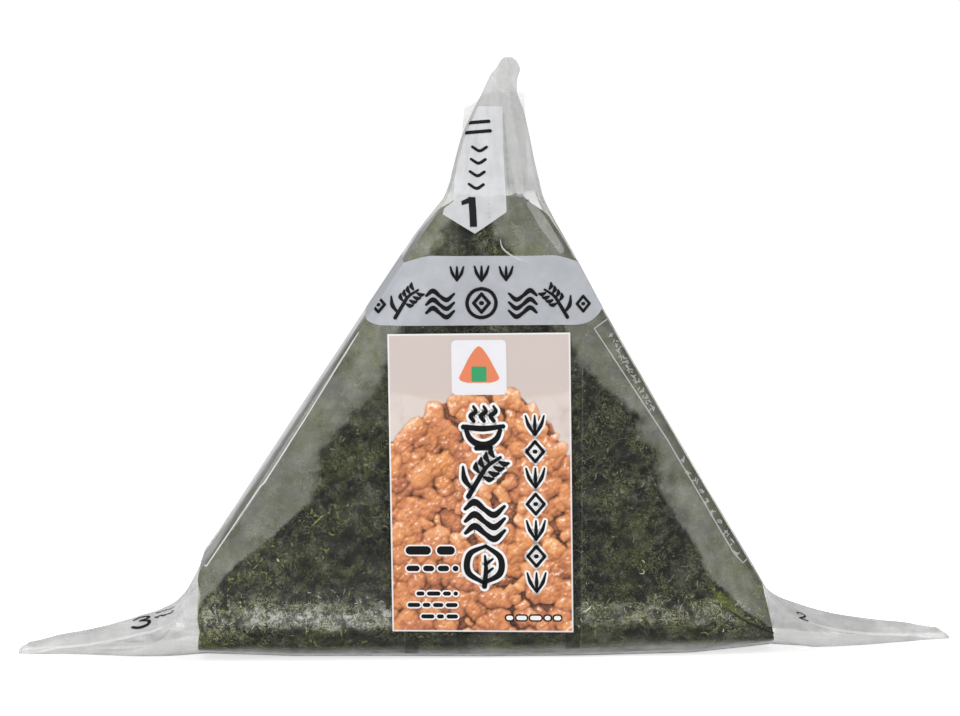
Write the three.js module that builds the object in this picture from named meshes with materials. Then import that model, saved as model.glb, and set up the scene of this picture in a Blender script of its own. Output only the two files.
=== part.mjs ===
// A rice ball wrapped in seaweed, shut in its clear three-step film pack, with a paper label on the front.
// Millimetres, +Z up. The pack stands on its narrow base at Z = 0, with its triangular front facing -Y.
import * as THREE from "three";
import { mergeVertices } from "three/addons/utils/BufferGeometryUtils.js";

// The seaweed is half of a standard sheet, and its width sets the scale of the whole pack.
const SEAWEED_WIDTH = 104;
const PACK_THICKNESS = 30;
const BASE_EDGE_RADIUS = 7; // round edge of the rice under the front and back faces

// The slanted folds are straight lines: half the width of the pack is FOLD_FOOT - FOLD_SLOPE * height,
// measured from an axis that starts at AXIS_FOOT and leans a little to the right, as the hand-folded pack does.
const FOLD_FOOT = 60.8;
const FOLD_SLOPE = 0.62;
const AXIS_FOOT = -2.4;
const AXIS_LEAN = 0.0462;
const FOLD_SET_BACK = 1.8; // how far a fold lies behind the flat of the face
const FACE_ROUNDING = 9; // width of the strip beside a fold where the face falls back to it
const SIDE_BULGE = 0.9; // the narrow sides swell out by this much between their folds

// Below WING_TOP each fold turns outwards and runs along a wing that lies on the table.
const WING_TOP = 17;
const WING_REACH = 86.5;
const WING_TIP_HALF_DEPTH = 3;
const WING_TIP_HEIGHT = 1.2;
const WING_SWELL = 1.5; // the top of a wing is puffed up by this much along its middle
const WEB_START = SEAWEED_WIDTH / 2 - 1; // the front film leaves the flat face here

// Above SHOULDER the film gathers into a neck, whose end is the pull tab. Each station is
// height, centre in X, half width, half depth, and how far its middle leans back.
const SHOULDER = 76;
const PACK_HEIGHT = 109.5;
const NECK = [
  { z: SHOULDER, centre: 1.1, width: 13.7, depth: 15, lean: 0 },
  { z: 80, centre: 1.3, width: 11.3, depth: 14, lean: 0 },
  { z: 84, centre: 1.5, width: 9.3, depth: 11.4, lean: 0.1 },
  { z: 87, centre: 2.0, width: 8.2, depth: 8.4, lean: 0.2 },
  { z: 92, centre: 2.3, width: 7.1, depth: 5.4, lean: 0.4 },
  { z: 98.5, centre: 2.4, width: 5.9, depth: 3.2, lean: 0.8 },
  { z: 102, centre: 3.4, width: 4.5, depth: 2.1, lean: 1.2 },
  { z: 106.5, centre: 4.5, width: 2.9, depth: 1.0, lean: 2.0 },
  { z: PACK_HEIGHT, centre: 4.9, width: 1.9, depth: 0.5, lean: 2.6 },
];

const LABEL = { width: 32.8, height: 53.9, bottom: 6, centre: -1.1, turn: 0.85, thick: 0.35, gap: 0.3 };
const LABEL_CORNER = 0.8;

// Fineness of the mesh: columns across a face, across a narrow side, and rows in each zone.
const FACE_COLUMNS = 30;
const SIDE_COLUMNS = 6;
const WING_ROWS = 13;
const BODY_ROWS = 18;
const NECK_ROWS = 14;
const LABEL_ROWS = 16;
const LABEL_COLUMNS = 10;

const clamp01 = (t) => Math.min(1, Math.max(0, t));
const smooth = (t) => clamp01(t) ** 2 * (3 - 2 * clamp01(t));
const mix = (a, b, t) => a + (b - a) * t;

const axisAt = (z) => AXIS_FOOT + AXIS_LEAN * z;

// Half the depth of the flat face at a height: a quarter circle at the base edge, then straight.
function faceDepth(z) {
  const full = PACK_THICKNESS / 2;
  const under = Math.max(0, BASE_EDGE_RADIUS - z);
  return full - BASE_EDGE_RADIUS + Math.sqrt(BASE_EDGE_RADIUS ** 2 - under ** 2);
}

// The line of a fold as it leaves the slanted side and runs out along a wing, in X and Z.
const wingFold = new THREE.CubicBezierCurve(
  new THREE.Vector2(FOLD_FOOT - FOLD_SLOPE * WING_TOP, WING_TOP),
  new THREE.Vector2(55.6, 7.6),
  new THREE.Vector2(57, 1.8),
  new THREE.Vector2(WING_REACH, WING_TIP_HEIGHT),
);

// A smooth curve through the neck's stations, one for each measure.
const neckCurves = Object.fromEntries(
  ["centre", "width", "depth", "lean"].map((key) => [
    key,
    new THREE.SplineCurve(NECK.map((station) => new THREE.Vector2(station.z, station[key]))),
  ]),
);
const neckAt = (key, share) => neckCurves[key].getPoint(share);

// One row of the pack: its height on the face, and where its four folds are.
function wingRow(share) {
  const fold = wingFold.getPoint(1 - share);
  const out = (fold.x - wingFold.v0.x) / (WING_REACH - wingFold.v0.x);
  const height = WING_TOP * share ** 1.25;
  return {
    height,
    centre: mix(axisAt(WING_TOP), 0, smooth(out * 2)),
    lean: 0,
    depth: faceDepth(height),
    foldX: fold.x,
    foldZ: fold.y,
    foldDepth: mix(PACK_THICKNESS / 2 - FOLD_SET_BACK, WING_TIP_HALF_DEPTH, out),
    roundFrom: mix(fold.x - FACE_ROUNDING, WEB_START, smooth(out * 4)),
    bulge: mix(SIDE_BULGE, 0, smooth(out * 3)),
    swell: WING_SWELL * smooth(out * 3) * (1 - 0.6 * out),
  };
}

function bodyRow(share) {
  const height = mix(WING_TOP, SHOULDER, share);
  const foldX = FOLD_FOOT - FOLD_SLOPE * height;
  return {
    height,
    centre: axisAt(height),
    lean: 0,
    depth: PACK_THICKNESS / 2,
    foldX,
    foldZ: height,
    foldDepth: PACK_THICKNESS / 2 - FOLD_SET_BACK,
    roundFrom: foldX - FACE_ROUNDING,
    bulge: SIDE_BULGE,
    swell: 0,
  };
}

function neckRow(share) {
  const width = neckAt("width", share);
  const depth = neckAt("depth", share).y;
  return {
    height: width.x,
    centre: neckAt("centre", share).y,
    lean: neckAt("lean", share).y,
    depth,
    foldX: width.y,
    foldZ: width.x,
    foldDepth: depth * mix(1 - FOLD_SET_BACK / (PACK_THICKNESS / 2), 0.25, share),
    roundFrom: mix(width.y - FACE_ROUNDING, 0, smooth(share * 2)),
    bulge: mix(SIDE_BULGE, 0.1, share),
    swell: 0,
  };
}

// A point of a row on the front face (side -1) or the back face (side 1), at across from -1 to 1.
function facePoint(row, side, across) {
  const reach = Math.abs(across) * row.foldX;
  const from = Math.max(0, row.roundFrom);
  const fall = smooth((reach - from) / Math.max(0.5, row.foldX - from));
  const x = row.centre + across * row.foldX;
  const y = row.lean + side * mix(row.depth, row.foldDepth, fall);
  return new THREE.Vector3(x, y, mix(row.height, row.foldZ, fall));
}

// A point of a row on a narrow side, end -1 on the left and 1 on the right, from front (0) to back (1).
function sidePoint(row, end, share) {
  const fold = facePoint(row, -1, end);
  const arch = 4 * share * (1 - share);
  const y = mix(fold.y, 2 * row.lean - fold.y, share);
  return new THREE.Vector3(fold.x + end * row.bulge * arch, y, fold.z + row.swell * arch);
}

// The ring of points round one row, anticlockwise seen from above.
function ringOf(row) {
  const ring = [];
  for (let i = 0; i < FACE_COLUMNS; i++) ring.push(facePoint(row, -1, (2 * i) / FACE_COLUMNS - 1));
  for (let i = 0; i < SIDE_COLUMNS; i++) ring.push(sidePoint(row, 1, i / SIDE_COLUMNS));
  for (let i = 0; i < FACE_COLUMNS; i++) ring.push(facePoint(row, 1, 1 - (2 * i) / FACE_COLUMNS));
  for (let i = 0; i < SIDE_COLUMNS; i++) ring.push(sidePoint(row, -1, 1 - i / SIDE_COLUMNS));
  return ring;
}

// Triangles of a grid of points, rows outermost. A row that wraps joins its last column to its first.
function gridTriangles(rows, wraps) {
  const triangles = [];
  const columns = rows[0].length;
  for (let r = 0; r + 1 < rows.length; r++) {
    for (let c = 0; c < (wraps ? columns : columns - 1); c++) {
      const next = (c + 1) % columns;
      const corners = [rows[r][c], rows[r][next], rows[r + 1][next], rows[r + 1][c]];
      triangles.push(corners[0], corners[1], corners[2], corners[0], corners[2], corners[3]);
    }
  }
  return triangles;
}

// A flat cover over one row, as strips that run from the front face to the back face.
function capRows(row) {
  return Array.from({ length: FACE_COLUMNS + 1 }, (_, i) => {
    const across = (2 * i) / FACE_COLUMNS - 1;
    const front = facePoint(row, -1, across);
    const back = facePoint(row, 1, across);
    const end = Math.abs(across) === 1;
    return Array.from({ length: SIDE_COLUMNS + 1 }, (_, k) => {
      const share = k / SIDE_COLUMNS;
      return end ? sidePoint(row, across, share) : front.clone().lerp(back, share);
    });
  });
}

function closedGeometry(points) {
  const geometry = new THREE.BufferGeometry().setFromPoints(points);
  const merged = mergeVertices(geometry, 1e-4);
  merged.computeVertexNormals();
  return merged;
}

function packGeometry() {
  const rows = [];
  for (let i = 0; i < WING_ROWS; i++) rows.push(wingRow(i / WING_ROWS));
  for (let i = 0; i < BODY_ROWS; i++) rows.push(bodyRow(i / BODY_ROWS));
  for (let i = 0; i <= NECK_ROWS; i++) rows.push(neckRow(i / NECK_ROWS));
  const base = gridTriangles(capRows(rows[0]), false);
  const top = gridTriangles(capRows(rows[rows.length - 1]), false);
  return closedGeometry([...gridTriangles(rows.map(ringOf), true), ...base, ...top.reverse()]);
}

// The label: a thin sheet that follows the face of the pack, and the round of its base edge.
function labelGeometry() {
  const turn = THREE.MathUtils.degToRad(LABEL.turn);
  const place = (across, up, lift) => {
    const x = across * Math.cos(turn) - up * Math.sin(turn);
    const z = across * Math.sin(turn) + up * Math.cos(turn);
    const height = z + LABEL.bottom + LABEL.height / 2;
    return new THREE.Vector3(LABEL.centre + x, -faceDepth(height) - LABEL.gap - lift, height);
  };
  const sheet = (lift) =>
    Array.from({ length: LABEL_ROWS + 1 }, (_, r) => {
      const up = LABEL.height * (r / LABEL_ROWS - 0.5);
      const inset = r === 0 || r === LABEL_ROWS ? LABEL_CORNER : 0;
      return Array.from({ length: LABEL_COLUMNS + 1 }, (_, c) =>
        place((LABEL.width - 2 * inset) * (c / LABEL_COLUMNS - 0.5), up, lift),
      );
    });
  const front = sheet(LABEL.thick);
  const back = sheet(0);
  const rim = (grid) => [
    ...grid[0],
    ...grid.slice(1, -1).map((r) => r[LABEL_COLUMNS]),
    ...[...grid[LABEL_ROWS]].reverse(),
    ...grid.slice(1, -1).map((r) => r[0]).reverse(),
  ];
  const edge = gridTriangles([rim(back), rim(front)], true);
  return closedGeometry([...gridTriangles(front, false), ...gridTriangles(back, false).reverse(), ...edge]);
}

const film = new THREE.MeshStandardMaterial({
  color: new THREE.Color(0.2, 0.22, 0.16),
  roughness: 0.35,
  metalness: 0,
});
const paper = new THREE.MeshStandardMaterial({
  color: new THREE.Color(0.72, 0.42, 0.26),
  roughness: 0.5,
  metalness: 0,
});

const pack = new THREE.Mesh(packGeometry(), film);
pack.name = "film_pack";

const label = new THREE.Mesh(labelGeometry(), paper);
label.name = "label";

const riceBall = new THREE.Group();
riceBall.add(pack, label);

export default riceBall;
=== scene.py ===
# %% [markdown]
# # A seaweed rice ball in its clear film pack
# This lesson dresses one packed rice ball for a studio picture. The solid model fixes where everything is: a
# triangular pack on its narrow base, a gathered neck on top and two flat ears on the table. It comes in as a
# locked frame, and every piece made here is laid over it in the same place.

# %% Load the fixed frame
import math

import bmesh
import bpy
import numpy as np
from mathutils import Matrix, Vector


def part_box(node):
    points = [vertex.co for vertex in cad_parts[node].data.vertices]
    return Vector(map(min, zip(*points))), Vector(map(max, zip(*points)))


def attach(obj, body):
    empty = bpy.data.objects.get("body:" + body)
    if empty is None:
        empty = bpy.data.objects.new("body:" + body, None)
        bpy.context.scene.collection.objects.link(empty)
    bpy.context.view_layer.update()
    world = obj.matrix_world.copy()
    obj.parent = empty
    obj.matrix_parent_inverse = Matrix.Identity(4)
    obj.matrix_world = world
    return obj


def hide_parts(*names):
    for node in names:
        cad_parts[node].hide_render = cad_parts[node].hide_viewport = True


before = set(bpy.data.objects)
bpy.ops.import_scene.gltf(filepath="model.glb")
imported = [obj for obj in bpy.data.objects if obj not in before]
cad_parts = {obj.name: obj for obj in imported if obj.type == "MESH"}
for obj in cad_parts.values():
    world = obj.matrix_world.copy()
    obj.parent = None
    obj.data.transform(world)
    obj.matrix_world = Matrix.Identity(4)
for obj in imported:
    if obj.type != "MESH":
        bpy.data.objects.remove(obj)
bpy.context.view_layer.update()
MM = 0.001
pack_low, pack_high = (np.array(corner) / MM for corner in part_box("film_pack"))
label_low, label_high = (np.array(corner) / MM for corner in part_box("label"))
print("pack box in mm", pack_low.round(2), pack_high.round(2))
print("label box in mm", label_low.round(2), label_high.round(2))

# %% [markdown]
# ## Camera and stage
# The picture was taken with a long lens, a little left of the front and a little above the table. Such a lens
# keeps the two folds nearly straight, so the camera comes first: every width judged later depends on it.

# %% The camera
SHOT_AZIMUTH = -4.0
SHOT_ELEVATION = 6.0
SHOT_DISTANCE = 550.0
SHOT_AIM = np.array((0.0, 0.0, 54.0))
PIXELS_PER_MM = 5.427
FRAME_PIXELS = 960
SHIFT_PIXELS = (1.19, 0.78)


def place_camera():
    """A camera on a sphere round the aim point: azimuth turns it about Z, elevation lifts it."""
    azimuth, elevation = math.radians(SHOT_AZIMUTH), math.radians(SHOT_ELEVATION)
    back = np.array(
        (math.sin(azimuth) * math.cos(elevation), -math.cos(azimuth) * math.cos(elevation), math.sin(elevation))
    )
    data = bpy.data.cameras.new("studio_camera")
    data.sensor_width = 36.0
    data.lens = PIXELS_PER_MM * SHOT_DISTANCE / FRAME_PIXELS * data.sensor_width
    data.shift_x = -SHIFT_PIXELS[0] / FRAME_PIXELS
    data.shift_y = SHIFT_PIXELS[1] / FRAME_PIXELS
    data.clip_start, data.clip_end = 0.01, 20.0
    camera = bpy.data.objects.new("studio_camera", data)
    bpy.context.scene.collection.objects.link(camera)
    camera.location = (SHOT_AIM + SHOT_DISTANCE * back) * MM
    camera.rotation_euler = (math.pi / 2 - elevation, 0.0, azimuth)
    bpy.context.scene.camera = camera
    return camera


camera = place_camera()
print("lens in mm", round(camera.data.lens, 1))

# %% [markdown]
# ## Helpers for making surfaces
# Each piece is a grid of points worked out with numpy. A grid becomes faces between neighbouring points, and
# several grids that share an edge are welded, so that the finished skin is closed. Numbers that belong to the
# surface, such as how loose the film is, travel with the points as named attributes.


# %% From grids of points to a mesh
def grid_faces(rows, columns, wraps, start):
    """Four corners for each cell of a grid: point (row, column) is start + row * columns + column."""
    row, column = np.meshgrid(np.arange(rows - 1), np.arange(columns if wraps else columns - 1), indexing="ij")
    right = (column + 1) % columns
    here, above = row * columns, (row + 1) * columns
    corners = (here + column, here + right, above + right, above + column)
    return np.stack([corner.ravel() for corner in corners], axis=1) + start


def skin(name, grids, material, attributes=None, weld=True, smooth=True):
    """One mesh from (points, wraps, flipped) grids in millimetres, with one array of values per grid and name."""
    points, faces, start = [], [], 0
    for grid, wraps, flipped in grids:
        cells = grid_faces(grid.shape[0], grid.shape[1], wraps, start)
        faces.append(cells[:, ::-1] if flipped else cells)
        points.append(grid.reshape(-1, 3))
        start += grid.shape[0] * grid.shape[1]
    mesh = bpy.data.meshes.new(name)
    mesh.from_pydata((np.concatenate(points) * MM).tolist(), [], np.concatenate(faces).tolist())
    for key, values in (attributes or {}).items():
        flat = np.concatenate([np.asarray(value, np.float32).reshape(-1, *value.shape[2:]) for value in values])
        is_colour = flat.ndim == 2
        layer = mesh.attributes.new(key, "FLOAT_COLOR" if is_colour else "FLOAT", "POINT")
        if is_colour:
            flat = np.concatenate([flat, np.ones((len(flat), 1), np.float32)], axis=1)
        layer.data.foreach_set("color" if is_colour else "value", flat.ravel())
    if weld:
        work = bmesh.new()
        work.from_mesh(mesh)
        bmesh.ops.remove_doubles(work, verts=work.verts, dist=1e-6)
        bmesh.ops.dissolve_degenerate(work, edges=work.edges, dist=1e-7)
        work.to_mesh(mesh)
        work.free()
    mesh.polygons.foreach_set("use_smooth", np.full(len(mesh.polygons), smooth))
    mesh.materials.append(material)
    piece = bpy.data.objects.new(name, mesh)
    bpy.context.scene.collection.objects.link(piece)
    print(name, len(mesh.polygons), "faces")
    return piece


def fit_out(piece, slot, *nodes):
    """Ties a piece to the solid model: it rides on the one body and stands for the nodes that it covers."""
    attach(piece, "root")
    if nodes:
        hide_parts(*nodes)
    return piece


# %% Small formulas used everywhere
def smooth(t):
    """0 below 0, 1 above 1, and an S-shaped ease between."""
    t = np.clip(t, 0.0, 1.0)
    return t * t * (3.0 - 2.0 * t)


def mix(a, b, t):
    """From a at t = 0 to b at t = 1, along a straight line."""
    return a + (b - a) * t


def read_table(value, table, column=1):
    """Straight lines between a table's rows: the value is found in the first column, and another one is read."""
    return np.interp(value, table[:, 0], table[:, column])


def bump_between(value, low, high, soft):
    """1 between low and high, falling to 0 over a soft distance on each side."""
    return smooth((value - low) / soft + 0.5) * smooth((high - value) / soft + 0.5)


def patchy(x, y, cell, seed, octaves=1):
    """Value noise from -1 to 1: random numbers on a square lattice, eased between, with halved octaves added."""
    total, weight, size = 0.0, 0.0, cell
    for octave in range(octaves):
        lattice = np.random.default_rng(seed + 31 * octave).uniform(-1.0, 1.0, (128, 128))
        u, v = np.asarray(x) / size + 64.0, np.asarray(y) / size + 64.0
        column, row = np.floor(u).astype(int), np.floor(v).astype(int)
        fu, fv = smooth(u - column), smooth(v - row)
        low = mix(lattice[row % 128, column % 128], lattice[row % 128, (column + 1) % 128], fu)
        high = mix(lattice[(row + 1) % 128, column % 128], lattice[(row + 1) % 128, (column + 1) % 128], fu)
        total = total + mix(low, high, fv) * 0.5**octave
        weight += 0.5**octave
        size *= 0.5
    return total / weight


sample = patchy(np.linspace(0, 50, 400), np.zeros(400), 3.0, 1, 2)
print("patchy noise runs from", sample.min().round(2), "to", sample.max().round(2))

# %% [markdown]
# ## The shape of the film
# The film is one long tube of level sections. Each section has a flat front and back, four folds, and two narrow
# sides. Below WING_TOP the folds run outwards along the ears, and above SHOULDER the sections shrink into the
# neck. The numbers are those of the solid pack, with a finer neck, because a picture shows its creases.

# %% Driving sizes of the pack in millimetres
PACK_THICKNESS = pack_high[1] - pack_low[1]
BASE_EDGE_RADIUS = 7.0
FOLD_FOOT, FOLD_SLOPE = 60.8, 0.62
AXIS_FOOT, AXIS_LEAN = -2.4, 0.0462
FOLD_SET_BACK = 1.8
FACE_ROUNDING = 9.0
SIDE_BULGE = 0.15
WING_TOP = 17.0
WING_REACH = pack_high[0]
WING_TIP_HALF_DEPTH = 3.0
WING_TIP_HEIGHT = 1.2
WING_SWELL = 1.5
WEB_START = 51.0
SHOULDER = 76.0
FILM_TOP = 109.3
NECK_CREASE = 4.3

# Neck stations: height, centre in X, half width, half depth, lean back.
NECK_STATIONS = np.array((
    (SHOULDER, 1.1, 13.7, 15.0, 0.0),
    (80.0, 1.45, 11.15, 14.0, 0.0),
    (84.0, 1.95, 8.8, 11.4, 0.1),
    (87.0, 2.4, 7.8, 8.4, 0.2),
    (91.0, 2.5, 6.9, 5.8, 0.4),
    (95.0, 2.7, 6.0, 4.2, 0.6),
    (99.3, 3.2, 4.6, 2.8, 1.0),
    (102.7, 3.5, 3.1, 1.9, 1.4),
    (105.3, 4.1, 2.5, 1.3, 1.9),
    (107.6, 4.8, 2.35, 0.8, 2.3),
    (FILM_TOP, 5.2, 1.3, 0.4, 2.6),
))

# How far the ears lie above the plain curve of the folds: X, rise.
EAR_RISE = np.array((
    (-88.0, 0.6), (-83.0, 0.3), (-79.0, 0.3), (-75.0, 0.5), (-71.0, 0.75), (-67.0, 0.95), (-63.0, 0.8),
    (-59.0, -0.2), (-57.0, -1.2), (-55.0, -1.9), (-53.0, -1.4), (-50.6, 0.0), (56.0, 0.0), (60.0, 0.3),
    (66.0, 0.35), (72.0, 0.5), (80.0, 0.5), (86.0, 0.5), (90.0, 0.6),
))


# %% Level sections of the film
RIGHT_BOW = np.array(((12.0, 0.35), (18.0, 0.3), (30.0, 0.0), (45.0, -0.3), (66.0, -0.35), (75.0, 0.0)))
BACK_LEFT_INSET = np.array((
    (9.0, 0.0), (15.0, 0.5), (21.0, 0.85), (45.0, 0.75), (75.0, 0.85), (83.0, 1.0), (86.0, 0.3),
    (88.0, 0.0),
))


def axis_at(height):
    """X of the leaning middle line."""
    return AXIS_FOOT + AXIS_LEAN * height


def bow_at(height):
    """How far the right fold bows out of its straight line: out near the foot and in higher up."""
    return read_table(height, RIGHT_BOW)


# %% Depth of the face, and the curve of the neck
def face_depth(height, radius=BASE_EDGE_RADIUS, full=PACK_THICKNESS / 2):
    """Half the depth of the flat face: a quarter circle at the base edge, then straight."""
    under = np.maximum(0.0, radius - height)
    return full - radius + np.sqrt(np.maximum(0.0, radius**2 - under**2))


def through_stations(share):
    """Catmull-Rom curve through the neck stations, all five measures at once."""
    place = np.clip(share, 0.0, 1.0) * (len(NECK_STATIONS) - 1)
    index = np.minimum(place.astype(int), len(NECK_STATIONS) - 2)
    w = (place - index)[:, None]
    p0, p1 = NECK_STATIONS[np.maximum(index - 1, 0)], NECK_STATIONS[index]
    p2, p3 = NECK_STATIONS[index + 1], NECK_STATIONS[np.minimum(index + 2, len(NECK_STATIONS) - 1)]
    v0, v1 = (p2 - p0) / 2, (p3 - p1) / 2
    return (2 * p1 - 2 * p2 + v0 + v1) * w**3 + (-3 * p1 + 3 * p2 - 2 * v0 - v1) * w**2 + v0 * w + p1


# %% The folds that run out along the ears
def wing_fold(share):
    """Half width and height of the fold beside an ear: a cubic Bezier from the slanted side (0) to the tip (1)."""
    start = FOLD_FOOT - FOLD_SLOPE * WING_TOP
    spread = (1 - share) ** 3, 3 * (1 - share) ** 2 * share, 3 * (1 - share) * share**2, share**3
    x = spread[0] * start + spread[1] * 55.6 + spread[2] * 57.0 + spread[3] * WING_REACH
    z = spread[0] * WING_TOP + spread[1] * 7.6 + spread[2] * 1.8 + spread[3] * WING_TIP_HEIGHT
    return x, z


print("ear tip at X and Z in mm", [round(float(value), 1) for value in wing_fold(1.0)])

# %% All measures of one level section
NECK_SHARES = np.linspace(0.0, 1.0, 400)
NECK_TABLE = through_stations(NECK_SHARES)


def sections(height):
    """All measures of the film's level sections, each an array of the same shape as the heights."""
    height = np.asarray(height, float)
    wing = np.clip(height / WING_TOP, 0.0, 1.0) ** 0.8
    fold_x, fold_z = wing_fold(1.0 - wing)
    out = (fold_x - wing_fold(0.0)[0]) / (WING_REACH - wing_fold(0.0)[0])
    on_body = height > WING_TOP
    on_neck = height > SHOULDER
    share = np.interp(height, NECK_TABLE[:, 0], NECK_SHARES)
    neck = [read_table(height, NECK_TABLE, k) for k in range(5)]
    bow = bow_at(np.maximum(height, WING_TOP)) / 2
    straight = FOLD_FOOT - FOLD_SLOPE * height + bow
    fold_x = fold_x + bow * (1 - smooth(out * 2))
    foot_centre = (axis_at(WING_TOP) + bow) * (1 - smooth(out * 2)) + 1.3 * smooth(out)
    depth = np.where(on_neck, neck[3], face_depth(height))
    fold_x = np.where(on_neck, neck[2], np.where(on_body, straight, fold_x))
    set_back = 1 - FOLD_SET_BACK / (PACK_THICKNESS / 2)
    return {
        "height": height,
        "out": out * ~on_body,
        "centre": np.where(on_neck, neck[1], np.where(on_body, axis_at(height) + bow, foot_centre)),
        "lean": np.where(on_neck, neck[4], 0.0),
        "depth": depth,
        "fold_x": fold_x,
        "fold_z": np.where(on_body, height, fold_z),
        "fold_depth": np.where(
            on_neck,
            depth * mix(set_back, 0.25, share),
            mix(PACK_THICKNESS / 2 - FOLD_SET_BACK, WING_TIP_HALF_DEPTH, out * ~on_body),
        ),
        "round_from": np.where(
            on_neck,
            mix(fold_x - FACE_ROUNDING, 0.0, smooth(share * 2)),
            mix(fold_x - FACE_ROUNDING, WEB_START, smooth(out * 4) * ~on_body),
        ),
        "bulge": np.where(on_neck, mix(SIDE_BULGE, 0.1, share), mix(SIDE_BULGE, 0.0, smooth(out * 3) * ~on_body)),
        "swell": np.where(on_body, 0.0, WING_SWELL * smooth(out * 3) * mix(0.22, 1.0, smooth((1 - out) / 0.05))),
    }


# %% Points on the faces and on the narrow sides
def face_points(section, side, across):
    """Points on the front (side -1) or back (1): flat, then eased back to the fold, with the neck's hard crease."""
    reach = np.abs(across) * section["fold_x"]
    start = np.maximum(0.0, section["round_from"])
    fall = smooth((reach - start) / np.maximum(0.5, section["fold_x"] - start))
    inset = read_table(section["height"], BACK_LEFT_INSET) * np.clip(-across, 0.0, 1.0) * (side > 0)
    x = section["centre"] + across * section["fold_x"] + inset
    right_fold = section["centre"] + section["fold_x"]
    flank = np.clip((x - NECK_CREASE) / np.maximum(0.4, right_fold - NECK_CREASE), 0.0, 1.0)
    fall = mix(fall, np.where(across > 0, flank, fall), smooth((section["height"] - 79.0) / 6.0))
    y = section["lean"] + side * mix(section["depth"], section["fold_depth"], fall)
    rise = read_table(section["centre"] + np.sign(across) * section["fold_x"], EAR_RISE)
    fold_z = section["fold_z"] + rise * (section["height"] < WING_TOP)
    return np.stack([x, y, mix(section["height"], fold_z, fall)], axis=-1)


def side_points(section, end, share):
    """Points on a narrow side, from the front fold (share 0) to the back fold (1), puffed out between them."""
    fold = face_points(section, -1, np.full(np.shape(section["height"]), float(end)))
    arch = 4 * share * (1 - share)
    inset = read_table(section["height"], BACK_LEFT_INSET) * (end < 0)
    x = fold[..., 0] + inset * share + end * section["bulge"] * arch
    y = mix(fold[..., 1], 2 * section["lean"] - fold[..., 1], share)
    return np.stack([x, y, fold[..., 2] + section["swell"] * arch], axis=-1)


print("half width at the shoulder", sections([SHOULDER])["fold_x"].round(2))

# %% [markdown]
# ## Where the film clings and where it lifts
# Film that touches the wet-looking seaweed turns clear and dark. Film that stands off it scatters light and
# looks like grey mist. That difference draws most of the picture, so the distance of the clear area from each
# fold is given at a few heights, and a little noise frays its edge. The result is a haze value: 0 where the film
# clings, 1 where it is loose, and more where several layers lie together, as in the neck and past the seaweed.
# A second value, the sheen, marks the belly, the line near the base where the face turns under. The real film is
# pressed against standing leaf edges there, and they glitter; the glitter is a painted highlight in the film's
# colour and opacity.

# %% The haze of the front and back
LOOSE_LEFT = np.array((
    (6.0, 4.4), (8.0, 4.3), (11.2, 4.2), (16.2, 5.0), (20.3, 6.6), (23.6, 8.6), (27.0, 9.6), (30.0, 10.6),
    (33.9, 9.3), (36.1, 8.4), (41.6, 7.3), (45.5, 8.2), (47.8, 10.3), (50.5, 10.0), (53.8, 8.8),
    (57.4, 7.2), (66.0, 5.0), (73.0, 3.4), (80.0, 3.0), (84.0, 4.0),
))
LOOSE_RIGHT = np.array((
    (5.0, 0.6), (6.5, 3.6), (9.0, 6.4), (12.9, 8.2), (17.0, 8.9), (24.0, 8.5), (28.7, 8.6), (32.0, 8.2),
    (36.6, 6.6), (41.6, 5.2), (45.5, 5.4), (49.4, 7.4), (54.3, 9.6), (66.0, 9.5), (74.0, 11.5),
    (84.0, 12.0),
))
# Sheen over the rounded belly: height, at the left, at the right.
BELLY_SHEEN = np.array((
    (5.2, 0.0, 0.0), (5.8, 0.02, 0.0), (6.4, 0.1, 0.07), (6.9, 0.33, 0.17), (7.5, 0.66, 0.28),
    (8.0, 0.88, 0.33), (8.6, 0.98, 0.36), (9.3, 0.9, 0.35), (10.0, 0.62, 0.3), (10.4, 0.5, 0.24),
    (10.9, 0.4, 0.09), (11.4, 0.31, 0.02), (12.5, 0.21, 0.0), (14.7, 0.14, 0.0), (17.0, 0.0, 0.0),
))
SEAWEED_EDGE = 52.0
FRAY = 1.6


def fold_line(height, end):
    """X of the straight fold on the left (-1) or right (1), continued down past the ears."""
    return axis_at(height) + end * (FOLD_FOOT - FOLD_SLOPE * height) + bow_at(height) * (end > 0)


def seaweed_edge(height, end):
    """X of the seaweed's upright cut edge: the fold line above, and nearly upright below."""
    cut = 53.6 - 0.2 * height if end > 0 else SEAWEED_EDGE + 0.25 * np.sin(height * 0.9)
    return end * np.minimum(end * fold_line(height, end), cut)


# %% The sheen of the belly
def belly_sheen(x, height, seed):
    """The painted highlight of the bright band where the face turns under, patchy and stronger at the left."""
    right = smooth((x + 15.0) / 40.0)
    rise = height + 0.5 * patchy(x, height, 7.0, seed + 9, 2)
    sheen = mix(read_table(rise, BELLY_SHEEN), read_table(rise, BELLY_SHEEN, 2), right)
    patches = 1.0 + 0.5 * patchy(x, height, 2.8, seed + 15, 4) + 0.4 * patchy(x, height * 0.5, 9.0, seed + 16, 2)
    return sheen * np.maximum(0.3, patches) * (x > seaweed_edge(height, -1) + 0.2) * (1.0 - smooth((x - 44.0) / 5.0))


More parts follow.
